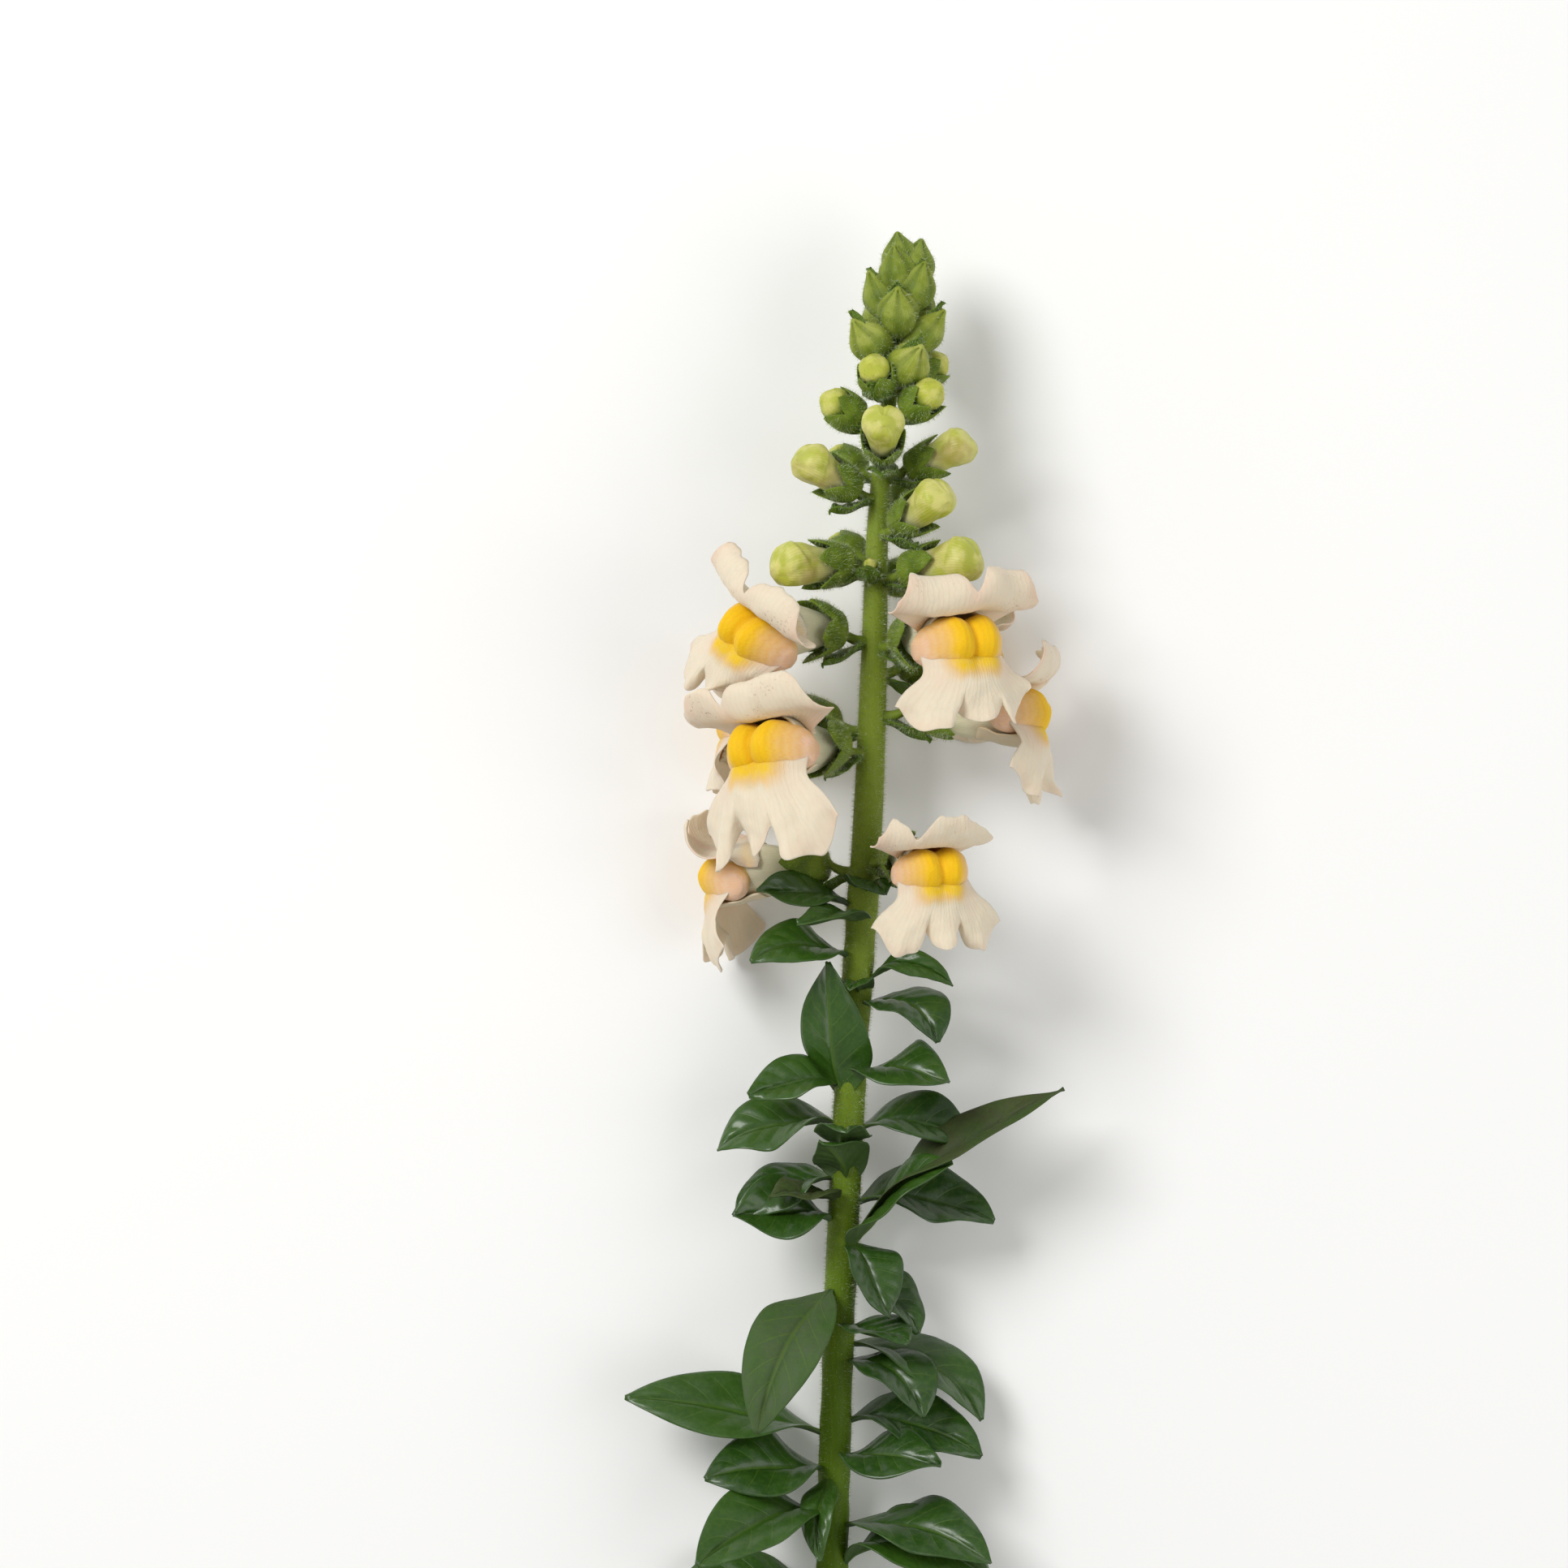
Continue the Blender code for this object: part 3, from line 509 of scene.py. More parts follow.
class Shells:
    """Closed shells gathered into one piece, with masks that the materials read."""

    def __init__(self):
        self.points = []
        self.faces = []
        self.masks = {}

    def add(self, points, faces, **masks):
        """Take in one closed shell and its masks."""
        first = len(self.points)
        self.points.extend(points)
        self.faces.extend(tuple(first + i for i in face) for face in faces)
        for name, values in masks.items():
            column = self.masks.setdefault(name, [])
            column.extend([0.0] * (first - len(column)))
            column.extend(values)

    def add_blade(self, grid, thick, relief, turned=False, **masks):
        """A thin closed blade round a grid of middle points, rows along it and columns across it."""
        middle = np.array([[tuple(p) for p in row] for row in grid])
        down, across = np.gradient(middle, axis=0), np.gradient(middle, axis=1)
        normal = np.cross(across, down)
        normal /= np.maximum(np.linalg.norm(normal, axis=2, keepdims=True), 1e-9)
        middle = middle + normal * np.array(relief)[:, :, None]
        half = normal * (np.array(thick)[:, :, None] * 0.5)
        points = np.concatenate([(middle + half).reshape(-1, 3), (middle - half).reshape(-1, 3)])
        tall, wide = middle.shape[:2]
        under = tall * wide
        faces = []
        for i in range(tall - 1):
            for j in range(wide - 1):
                a, b = i * wide + j, i * wide + j + 1
                c, d = b + wide, a + wide
                faces += [(a, b, c, d), (under + a, under + d, under + c, under + b)]
        rim = [*range(wide)]
        rim += [i * wide + wide - 1 for i in range(1, tall)]
        rim += [(tall - 1) * wide + j for j in range(wide - 2, -1, -1)]
        rim += [i * wide for i in range(tall - 2, 0, -1)]
        for here, there in zip(rim, rim[1:] + rim[:1]):
            faces.append((here, under + here, under + there, there))
        flat = {name: spread(values, tall, wide) * 2 for name, values in masks.items()}
        upper, lower = (0.0, 1.0) if turned else (1.0, 0.0)
        self.add(points.tolist(), faces, side=[upper] * under + [lower] * under, **flat)

    def add_loft(self, rings, **masks):
        """A closed solid through rings, which run anticlockwise seen from the last one."""
        count = len(rings[0])
        points = [tuple(p) for ring in rings for p in ring]
        faces = []
        for i in range(len(rings) - 1):
            for j in range(count):
                a, b = i * count + j, i * count + (j + 1) % count
                faces.append((a, b, b + count, a + count))
        end = (len(rings) - 1) * count
        for start, ring, turned in ((0, rings[0], True), (end, rings[-1], False)):
            middle = len(points)
            points.append(tuple(sum((Vector(p) for p in ring), Vector()) / count))
            for j in range(count):
                a, b = start + j, start + (j + 1) % count
                faces.append((b, a, middle) if turned else (a, b, middle))
        flat = {}
        for name, values in masks.items():
            column = spread(values, len(rings), count)
            flat[name] = column + [column[0], column[-count]]
        self.add(points, faces, **flat)

    def piece(self, name, material):
        """The shells as one smooth object at the origin, faces outward."""
        mesh = bpy.data.meshes.new(name)
        mesh.from_pydata([(x * MM, y * MM, z * MM) for x, y, z in self.points], [], self.faces)
        face_outward(mesh)
        for mask, values in self.masks.items():
            values = values + [0.0] * (len(self.points) - len(values))
            mesh.attributes.new(mask, "FLOAT", "POINT").data.foreach_set("value", values)
        mesh.polygons.foreach_set("use_smooth", [True] * len(mesh.polygons))
        mesh.materials.append(material)
        obj = bpy.data.objects.new(name, mesh)
        bpy.context.scene.collection.objects.link(obj)
        return obj


def spaced(low, high, count):
    """Evenly spaced values, both ends included."""
    return [blend(low, high, k / (count - 1)) for k in range(count)]


def round_angles(sides):
    """The angles of a ring's points."""
    return [2 * math.pi * k / sides for k in range(sides)]


def ring_at(seat, x, half_width, half_height, rise, sides, swell=None):
    """An oval ring round the tube, swollen as swell(angle) says."""
    ring = []
    for a in round_angles(sides):
        grow = swell(a) if swell else 0.0
        y, z = (half_width + grow) * math.cos(a), rise + (half_height + grow) * math.sin(a)
        ring.append(seat.place(x, y, z))
    return ring


def settle(piece, node):
    """Let the piece ride on the stem and stand for its node."""
    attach(piece, "root")
    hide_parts(node)


# Petals


def upper_lip_point(seat, s, t, shape, phases, ruffle):
    """The two upper lobes: forward out of the mouth, spread sideways and rolled back."""
    _, left_radius, right_radius, cleft, _ = shape
    radius = blend(left_radius, right_radius, smooth(0.5 + 1.2 * (s - cleft)))
    lobe = 1 - 0.6 * (abs(s - cleft) - 0.55) ** 2 - 0.3 * smooth((abs(s) - 0.72) / 0.28) ** 1.4
    length = UPPER_LENGTH * lobe - UPPER_NOTCH * hump(s - cleft, 0.12)
    length *= 1 + 0.016 * math.sin(17 * s + phases[2]) + 0.01 * math.sin(31 * s + phases[3])
    run = t * length
    lean = math.radians(3)
    ahead, rise = min(run, UPPER_STRAIGHT) * math.cos(lean), min(run, UPPER_STRAIGHT) * math.sin(lean)
    if run > UPPER_STRAIGHT:
        turn = (run - UPPER_STRAIGHT) / radius
        ahead += radius * (math.sin(lean + turn) - math.sin(lean))
        rise -= radius * (math.cos(lean + turn) - math.cos(lean))
    a = math.radians(78) * s
    spread = smooth(run / 7.0)
    wave = 0.9 * smooth(run / 14.0) * math.sin(5.2 * s + phases[0])
    wave += ruffle * smooth((t - 0.45) / 0.55) * math.sin(11.0 * s + phases[2])
    x = 17.2 - 1.4 * s * s + ahead - 2.0 * s * s * spread + 0.5 * wave
    y = blend(6.9 * math.sin(a), UPPER_HALF_WIDTH * s, spread)
    z = blend(0.4 + 5.8 * math.cos(a), 5.4, smooth(run / 6.0)) + rise + 0.7 * wave
    return seat.place_soft(x, y, z)


def lower_lip_runs(s, shape, phases):
    """How far the lower lip runs forward, round its bend and down its skirt."""
    hang = shape[0]
    forward_run = 11.0 - 5.0 * s * s
    bend_run = LOWER_BEND * math.radians(82)
    side = smooth((abs(s) - 0.2) / 0.2)
    rounded = 1 - 0.52 * smooth((abs(s) - 0.66) / 0.34) ** 1.3
    tongue = 1 - 0.22 * min(abs(s) / 0.27, 1.0) ** 2
    lobe = blend(LOWER_MIDDLE_LENGTH * tongue, LOWER_SIDE_LENGTH * rounded, side)
    lobe *= 1 + 0.03 * math.sin(13 * s + phases[2]) + 0.012 * math.sin(27 * s + phases[3])
    notch = 0.26 * hump(abs(s) - 0.29, 0.06) + 0.12 * hump(abs(s) - 0.29, 0.13)
    return forward_run, bend_run, hang * lobe * (1 - notch)


def lower_lip_point(seat, s, t, shape, phases, ruffle, sink=0.0):
    """The three lower lobes: forward under the palate, then hanging as a ruffled skirt."""
    hang = shape[0]
    forward_run, bend_run, hang_run = lower_lip_runs(s, shape, phases)
    run = t * (forward_run + bend_run + hang_run)
    ahead = min(run, forward_run)
    angle = min(max(run - forward_run, 0.0), bend_run) / LOWER_BEND
    hung = max(run - forward_run - bend_run, 0.0)
    ahead += LOWER_BEND * math.sin(angle) + hung * math.cos(angle)
    drop = LOWER_BEND * (1 - math.cos(angle)) + hung * math.sin(angle)
    share = hung / hang_run
    wave = hang * (1.3 * share * math.sin(8.5 * s + phases[1]) - 1.6 * share * share)
    wave += ruffle * share * share * (math.sin(13 * s + phases[3]) + 0.5 * math.sin(23 * s + phases[2]))
    wave += 0.7 * smooth((share - 0.55) / 0.45) * math.cos(10.8 * s)
    wave += 1.1 * share**3 * math.sin(6.3 * s + phases[1] + 1.0)
    out = smooth(run / (forward_run + bend_run))
    x = 15.8 + ahead + wave - 2.0 * s * s * share
    spread = (LOWER_HALF_WIDTH - LOWER_MOUTH_HALF_WIDTH) * share
    y = s * (blend(7.4, LOWER_MOUTH_HALF_WIDTH, out) + spread)
    y += 0.5 * share * math.sin(9 * s + phases[2]) + 1.1 * s * math.sin(math.pi * share)
    z = -6.0 + 2.2 * s * s * (1 - share) - drop - sink
    return seat.place_soft(x, y, z)


def palate_section(y, a, grow):
    """Reach and height of the palate's skin at y across it and the angle a round it."""
    half_depth, half_height, reach, rise = table_at(PALATE, y)
    front = smooth(0.5 + 0.6 * math.cos(a))
    crease = 0.6 * hump(y, 0.8) + 0.35 * hump(abs(y) - 6.3, 0.9) * smooth(0.5 - math.sin(a))
    grow -= front * crease
    return reach + (half_depth + grow) * math.cos(a), rise + (half_height + grow) * math.sin(a)


def skirt_point(seat, s, v, shape, phases, ruffle):
    """The lower lip's front skin: out of the palate's front, over the bend and down the skirt."""
    forward_run, bend_run, hang_run = lower_lip_runs(s, shape, phases)
    first = 1 - 0.8 * hang_run / (forward_run + bend_run + hang_run)
    if v >= SKIRT_STARTS:
        share = (v - SKIRT_STARTS) / (1 - SKIRT_STARTS)
        return lower_lip_point(seat, s, blend(first, 1.0, share), shape, phases, ruffle)
    end = lower_lip_point(seat, s, first, shape, phases, ruffle)
    before = lower_lip_point(seat, s, first - 0.04, shape, phases, ruffle)
    x, z = palate_section(8.7 * s, math.radians(-38), -0.35 - 0.9 * smooth((abs(s) - 0.72) / 0.28))
    start = seat.place(x, 8.7 * s, z)
    lead = seat.place(x + 1.3, 9.2 * s, z - 1.8)
    follow = end + (before - end).normalized() * 2.6 * seat.size
    v /= SKIRT_STARTS
    u = 1 - v
    return above_surface(u**3 * start + 3 * u * u * v * lead + 3 * u * v * v * follow + v**3 * end)


def stain_at(s, v):
    """How yellow the front skin is: most under the palate's middle, fading as it runs down."""
    return min(max(1.9 - 2.2 * abs(s), 0.0), 1.0) * (1 - smooth(v / SKIRT_STARTS / 0.85 - 0.1))


def flush_at(s, v):
    """How peach or pink it is: beside the yellow, and at the margin."""
    beside = 0.7 * smooth((abs(s) - 0.3) / 0.35) * (1 - smooth(v / SKIRT_STARTS / 1.4))
    return max(beside, 0.35 * smooth((v - 0.75) / 0.25) + 0.3 * smooth((abs(s) - 0.75) / 0.25))


def lip(shells, point, across, along, seed, edge, masks):
    """One lip: its grid, thin at the margin, with soft dents so that no two are alike."""
    grid = [[point(s, t) for s in across] for t in along]
    thick, relief = [], []
    for t, row in zip(along, grid):
        near_margin = [smooth(min(1 - t, 0.5 - 0.5 * abs(s)) / 0.12) for s in across]
        rooted = smooth((t + 0.16) / 0.2)
        thick.append([blend(edge, PETAL_THICKNESS, inside) * rooted + 0.05 for inside in near_margin])
        relief.append(
            [
                0.46 * smooth(t * 3) * noise.noise(p * 0.16 + Vector((seed * 7.1, 0, 0)))
                + 0.2 * smooth(t * 3) * noise.noise(p * 0.42 + Vector((seed * 3.3, 0, 0)))
                + 0.025 * smooth(t * 3) * math.sin(62 * s + 2.0 * t)
                for s, p in zip(across, row)
            ]
        )
    found = {name: [[rule(s, t) for s in across] for t in along] for name, rule in masks.items()}
    shells.add_blade(grid, thick, relief, across=across, along=upright(along), **found)


def corolla_tube(shells, seat):
    """The tube, ribbed along its length, with a hollow mouth."""
    rings, along, inside = [], [], []
    for x in spaced(TUBE[0][0], TUBE[-1][0], 26):
        half_width, half_height, rise = table_at(TUBE, x)
        ribs = 0.09 * smooth((x - 4) / 6)
        ripple = lambda a: ribs * math.cos(10 * a) - 0.02
        rings.append(ring_at(seat, x, half_width, half_height, rise, TUBE_SIDES, ripple))
        along.append(x / TUBE[-1][0])
        inside.append(0.0)
    _, half_width, half_height, rise = TUBE[-1]
    for x, inset in TUBE_HOLLOW:
        rings.append(ring_at(seat, x, half_width - inset, half_height - inset, rise, TUBE_SIDES))
        along.append(1.0)
        inside.append(1.0)
    blush = upright(inside)
    across = [math.sin(a) for a in round_angles(TUBE_SIDES)]
    shells.add_loft(rings, across=across, along=upright(along), blush=blush, stain=0.6 * blush, tube=1.0)


def corolla(seat, name, shape, sizes, material):
    """One open floret's petals: tube, upper lip and lower lip in one piece."""
    draw = random.Random(shape[4])
    phases = [draw.uniform(0, 6.28) for _ in range(4)]
    shells = Shells()
    corolla_tube(shells, seat)
    edge, ruffle = sizes.petal_edge / MM, sizes.ruffle / MM
    cleft = shape[3]
    lip(
        shells,
        lambda s, t: upper_lip_point(seat, s, t, shape, phases, 0.5 * ruffle),
        spaced(-1, 1, UPPER_GRID[0]),
        spaced(-0.14, 1, UPPER_GRID[1]),
        shape[4],
        edge,
        {
            "blush": lambda s, t: 0.9 * hump(abs(s) - 1, 0.2)
            + 0.55 * hump(s - cleft, 0.16)
            + 0.25 * hump(t - 1, 0.1),
            "speck": lambda s, t: hump(t - 0.62, 0.22) * smooth((1 - abs(s)) / 0.3),
            "stain": lambda s, t: 0.35 * hump(t, 0.12),
        },
    )

    def shelf_point(s, t):
        """The skin under the palate, which the skirt hides."""
        forward_run, bend_run, hang_run = lower_lip_runs(s, shape, phases)
        last = (forward_run + blend(0.6, 0.0, s * s) * bend_run) / (forward_run + bend_run + hang_run)
        sink = blend(0.5, 1.1, s * s) * smooth(2 * t)
        return lower_lip_point(seat, 0.88 * s, last * t, shape, phases, 0.0, sink)

    lip(
        shells,
        shelf_point,
        spaced(-1, 1, SHELF_GRID[0]),
        spaced(-0.12, 1, SHELF_GRID[1]),
        shape[4] + 20,
        0.4,
        {"stain": lambda s, t: 0.25},
    )
    lip(
        shells,
        lambda s, v: skirt_point(seat, s, v, shape, phases, ruffle),
        spaced(-1, 1, SKIRT_GRID[0]),
        spaced(0, 1, SKIRT_GRID[1]),
        shape[4] + 40,
        edge,
        {"blush": flush_at, "stain": stain_at},
    )
    return shells.piece("flower_" + name, material)


def palate(seat, name, material):
    """The swollen palate that closes the mouth: two upright humps, a crease between, soft cheeks."""
    widest = PALATE[-1][0]
    places, angles = spaced(-widest, widest, 79), [-a for a in round_angles(PALATE_SIDES)]
    rings = []
    for y in places:
        ring = []
        for a in angles:
            front, top = math.cos(a), math.sin(a)
            dents = noise.noise(Vector((y * 0.3, 1.7 * front + seat.size * 30, 1.7 * top)))
            furrows = noise.noise(Vector((y * 0.95 + seat.size * 50, 0.8 * front, 1.1 * top)))
            x, z = palate_section(y, a, 0.22 * dents + 0.16 * furrows - 0.05)
            ring.append(seat.place(x, y, z))
        rings.append(ring)
    shells = Shells()
    across = upright([y / widest for y in places])
    shells.add_loft(rings, across=across, along=[math.sin(a) for a in angles])
    return shells.piece("palate_face_" + name, material)


# Buds


def angle_between(a, b):
    """How far angle a lies from b, from minus to plus half a turn."""
    return math.atan2(math.sin(a - b), math.cos(a - b))


def bud_swell(x, a, seed):
    """Upper lobes folded over the lower ones: a crease on top, and the fold's edge round the sides."""
    high = smooth((x - 8.0) / 5.0)
    crease = -0.75 * high * hump(angle_between(a, math.pi / 2), 0.16)
    edge = x - 13.2 - 1.6 * math.sin(a) - 0.7 * math.sin(2 * a + seed)
    fold = 0.5 * smooth(edge / 0.9) * (1 - smooth((x - 18.6) / 1.6)) * smooth(math.sin(a) + 0.75)
    lower = -0.45 * high * hump(angle_between(a, -math.pi / 2), 0.22)
    folds = 0.55 * high * (abs(math.sin(1.5 * a + 0.16 * (x - 14) + seed)) ** 0.6 - 0.8)
    spot = Vector((0.5 * x, 2.4 * math.cos(a) + 9 * seed, 2.4 * math.sin(a)))
    folds += 0.16 * high * noise.noise(spot)
    return crease + lower + fold + folds - 0.2 * high


def bud_head(shells, seat, seed):
    """A closed bud's petals, green at the foot and rounded off at the top."""
    rings, along, green = [], [], []
    for x in spaced(BUD[0][0], BUD[-1][0], 44):
        half_width, half_height, rise = table_at(BUD, x)
        swell = lambda a: bud_swell(x, a, seed)
        rings.append(ring_at(seat, x, half_width, half_height, rise, BUD_SIDES, swell))
        along.append(x / BUD[-1][0])
        green.append(1 - smooth((x - 5) / 8))
    for x, share in BUD_TOP:
        half_width, half_height, rise = table_at(BUD, BUD[-1][0])
        rings.append(ring_at(seat, x, half_width * share, half_height * share, rise, BUD_SIDES))
        along.append(1.0)
        green.append(0.0)
    across = [math.sin(a) for a in round_angles(BUD_SIDES)]
    shells.add_loft(rings, along=upright(along), across=across, base=upright(green))


def sepal_cup(shells, seat, tip, valley, stalk_radius, seed):
    """A short stalk that widens into a five-pointed cup with a wall."""
    wall = SEPAL_THICKNESS / seat.size
    end = seat.place(0.0, 0.0, -0.3)
    columns = SEPALS * COLUMNS_PER_SEPAL
    angles = [a + math.pi / 2 for a in round_angles(columns)]
    rings, lobe, height = [], [], []
    for share in spaced(0.0, 0.86, 7):
        sag = 1.2 * seat.size * math.sin(math.pi * min(share * 0.82, 1.0)) ** 1.2
        centre = seat.root.lerp(end, share) - Vector((0.0, sag, 0.0))
        radius = stalk_radius * blend(1.3, 1.0, smooth(share * 1.6))
        rings.append(
            [centre + (seat.right * math.cos(a) + seat.up * math.sin(a)) * radius for a in angles]
        )
        lobe.append([0.0] * columns)
        height.append([0.0] * columns)

    def edge_at(k):
        """Reach and radius of the cup's edge, and how far from a sepal's middle the column is."""
        phi = (k % COLUMNS_PER_SEPAL) / COLUMNS_PER_SEPAL * 2
        phi = phi if phi <= 1 else 2 - phi
        rank = (k + COLUMNS_PER_SEPAL // 2) // COLUMNS_PER_SEPAL % SEPALS
        longer = 1 + 0.05 * math.sin(2.4 * rank + seed)
        point = (1 - phi) ** 0.72
        return blend(valley[0], tip[0] * longer, point), blend(valley[1], tip[1], point), phi

    edges = [edge_at(k) for k in range(columns)]

    def ring_of(profile):
        """Add the ring whose reach and radius the profile gives for each column."""
        ring, row, high = [], [], []
        for k, a in enumerate(angles):
            x, radius = profile(k)
            ring.append(seat.place(x, radius * math.cos(a), radius * math.sin(a) - 0.3))
            row.append(1 - edges[k][2])
            high.append(min(x / tip[0], 1.0))
        rings.append(ring)
        lobe.append(row)
        height.append(high)

    for v in spaced(0.0, 1.0, 6):
        turn = v * math.pi / 2
        x = blend(CALYX_FOOT[0], CALYX_SHOULDER[0], 1 - math.cos(turn))
        radius = blend(CALYX_FOOT[1], CALYX_SHOULDER[1], math.sin(turn))
        ring_of(lambda k: (x, radius))

    def outside(k, v):
        """Reach and radius of the outer skin, from the shoulder to the edge."""
        edge_x, edge_radius, phi = edges[k]
        keel = 0.16 * hump(phi, 0.14) * math.sin(math.pi * v) ** 0.5 - 0.28 * hump(1 - phi, 0.12) * v
        bulge = 0.45 * math.sin(math.pi * v) + 0.5 * v**3 * (1 - phi)
        radius = blend(CALYX_SHOULDER[1], edge_radius - 0.3 * (1 - phi), v) + bulge + keel
        return blend(CALYX_SHOULDER[0], edge_x, v), radius

    for v in spaced(0.12, 1.0, 10):
        ring_of(lambda k: outside(k, v))
    for v in spaced(1.0, 0.3, 7):
        thin = wall * blend(1.0, 0.4, v**3)
        ring_of(lambda k: (outside(k, v)[0] - 0.02, outside(k, v)[1] - thin))
    for x, radius in CALYX_INSIDE:
        ring_of(lambda k: (x, radius))
    shells.add_loft(rings, across=lobe, along=height, fuzz=0.4 + 0.6 * np.array(height))


def green_head(shells, seat, rows, pleat, ripe, glow=0.0):
    """A green bud's head, pleated where its five sepals meet, with painted shade in the pleat grooves
    when it is unripe, and lime at its top when it is ripe.
    """
    rings, along, across = [], [], []
    bottom, top = rows[0][0], rows[-1][0]
    for x in spaced(bottom, top, 18):
        (radius,) = table_at(rows, x)
        share = (x - bottom) / (top - bottom)
        depth = pleat * smooth(share * 1.6)
        fold = lambda a: -depth * abs(math.cos(2.5 * a + 0.6)) ** 8
        rings.append(ring_at(seat, x, radius, radius, 0.0, HEAD_SIDES, fold))
        along.append(share)
        across.append([abs(math.sin(2.5 * a + 0.6)) for a in round_angles(HEAD_SIDES)])
    for reach, share in ((0.35, 0.7), (0.6, 0.3)):
        radius = rows[-1][1] * share
        rings.append(ring_at(seat, top + reach, radius, radius, 0.0, HEAD_SIDES))
        along.append(1.0)
        across.append([1.0] * HEAD_SIDES)
    lime = [max(ripe * smooth((share - 0.45) / 0.3), glow) for share in along]
    # Painted shade: the pleat grooves of the unripe buds are darkened towards the sepals' green.
    seam = (1 - ripe) * (1 - np.array(across) ** 2) ** 3
    fuzz = 0.5 * (1 - 0.7 * ripe)
    shells.add_loft(
        rings, along=upright(along), across=across, fuzz=fuzz, lime=upright(lime), seam=seam
    )


# Leaves


def leaf_half_width(t):
    """Share of the half width: a narrow stalk, widest before the middle, and a pointed tip."""
    t = min(max(t, 0.0), 1.0)
    body = math.sin(math.pi * min(1.0, max(0.0, (t - 0.06) / 0.94)) ** 0.85) ** 0.8
    body *= blend(0.75, 1.0, smooth(t / 0.22))
    return max(0.09 * (1 - 0.5 * smooth((t - 0.9) / 0.1)), body)


def leaf_line(y, azimuth, length, rise, droop, side_bend, t):
    """The midrib at t, its direction and the direction that its upper side faces."""
    away = outward(azimuth)
    sideways = TIPWARD.cross(away)
    steps = 8
    point = stem_centre(y) + away * (0.4 * stem_radius(y))
    for k in range(steps):
        piece = min(max(t * steps - k, 0.0), 1.0)
        if piece == 0.0:
            break
        u = (k + 0.5) / steps
        a, b = math.radians(blend(rise, droop, u)), math.radians(side_bend * u)
        ahead = TIPWARD * math.cos(a) + away * math.sin(a)
        ahead = (ahead * math.cos(b) + sideways * math.sin(b)).normalized()
        point = point + ahead * (piece * length / steps)
    a, b = math.radians(blend(rise, droop, t)), math.radians(side_bend * t)
    ahead = (TIPWARD * math.cos(a) + away * math.sin(a)) * math.cos(b) + sideways * math.sin(b)
    return point, ahead, TIPWARD * math.sin(a) - away * math.cos(a)


def leaf_relief(s, t, veins):
    """How far a leaf's skin stands out: sunken midrib and side veins, puffed between them."""
    phase = 7.0 * t - 1.5 * abs(s)
    puff = abs(math.sin(math.pi * phase)) ** 0.6 * smooth(abs(s) * 4) * smooth((1 - abs(s)) * 3)
    return veins * (puff - 1.3 * hump(s, 0.07)) * smooth((t - 0.12) / 0.18) * smooth((1 - t) * 6)


def add_leaf(shells, row, phase, clearance, columns, rows, veins, fuzz=0.0, turned=False, **masks):
    """One leaf or bract: arching from the stem, folded along its midrib and waved at its edge."""
    y, azimuth, length, width, rise, droop, side_bend, twist = row
    across, along = spaced(-1, 1, columns), spaced(0, 1, rows)
    grid, thick, relief = [], [], []
    for t in along:
        point, ahead, face = leaf_line(y, azimuth, length, rise, droop, side_bend, t)
        w = math.radians(twist) * smooth(t * 1.6)
        edge = ahead.cross(face).normalized()
        face = edge.cross(ahead).normalized()
        edge, face = edge * math.cos(w) + face * math.sin(w), face * math.cos(w) - edge * math.sin(w)
        half = leaf_half_width(t) * width * 0.5
        cupping = 0.3 + 0.14 * math.sin(3 * phase + 4 * t)
        line, depth = [], []
        for s in across:
            free = smooth(t * 3)
            wave = 0.8 * math.sin(2.6 * math.pi * t + phase + (1.4 if s > 0 else 0)) * abs(s) * free
            wave += 0.35 * math.sin(17 * t + 2 * phase + s) * abs(s) ** 3 * free
            wave += 0.5 * math.sin(7.5 * t + 3 * phase) * (1 - s * s) * free
            fold = cupping * abs(s) * half * (1.15 - 0.3 * abs(s))
            spot = point + edge * (s * half * 0.95) + face * (fold + wave)
            line.append(above_surface(spot, clearance))
            stalk = blend(1.2, 0.5, smooth(t / 0.16))
            depth.append(stalk + 0.35 * hump(s, 0.12) * (1 - t) - 0.22 * s * s)
        grid.append(line)
        thick.append(depth)
        relief.append([leaf_relief(s, t, veins) for s in across])
    hairy = [fuzz * (0.4 + 0.6 * abs(s)) for s in across]
    shells.add_blade(
        grid, thick, relief, turned, across=across, along=upright(along), fuzz=hairy, **masks
    )


def spiral_rows(draw):
    """Leaves on a spiral, turned to the sides where they would point into the table."""
    rows = []
    for k in range(SPIRAL_LEAVES):
        share = k / (SPIRAL_LEAVES - 1)
        y = blend(SPIRAL_LEAF_TOP, SPIRAL_LEAF_BOTTOM, share)
        azimuth = (60.0 + k * GOLDEN_ANGLE + 180.0) % 360.0 - 180.0
        if abs(azimuth) > LOWEST_SIDE:
            azimuth = math.copysign(LOWEST_SIDE - draw.uniform(0, 16), azimuth)
        row = (
            y,
            azimuth,
            draw.uniform(*SPIRAL_LEAF_LENGTH),
            draw.uniform(*SPIRAL_LEAF_WIDTH),
            draw.uniform(40, 62),
            draw.uniform(96, 140),
            draw.uniform(-20, 20),
            -math.copysign(draw.uniform(*SPIRAL_LEAF_TWIST), azimuth),
        )
        rows.append((row, draw.uniform(0, 6.28), FLOOR_CLEARANCE + draw.uniform(0.2, 1.6)))
    return rows


def leaf_rows():
    """Every leaf's row, phase and clearance: those seen from above, then the spiral."""
    draw = random.Random(11)
    shown = [(row, draw.uniform(0, 6.28), FLOOR_CLEARANCE) for row in SHOWN_LEAVES]
    return shown, spiral_rows(draw)


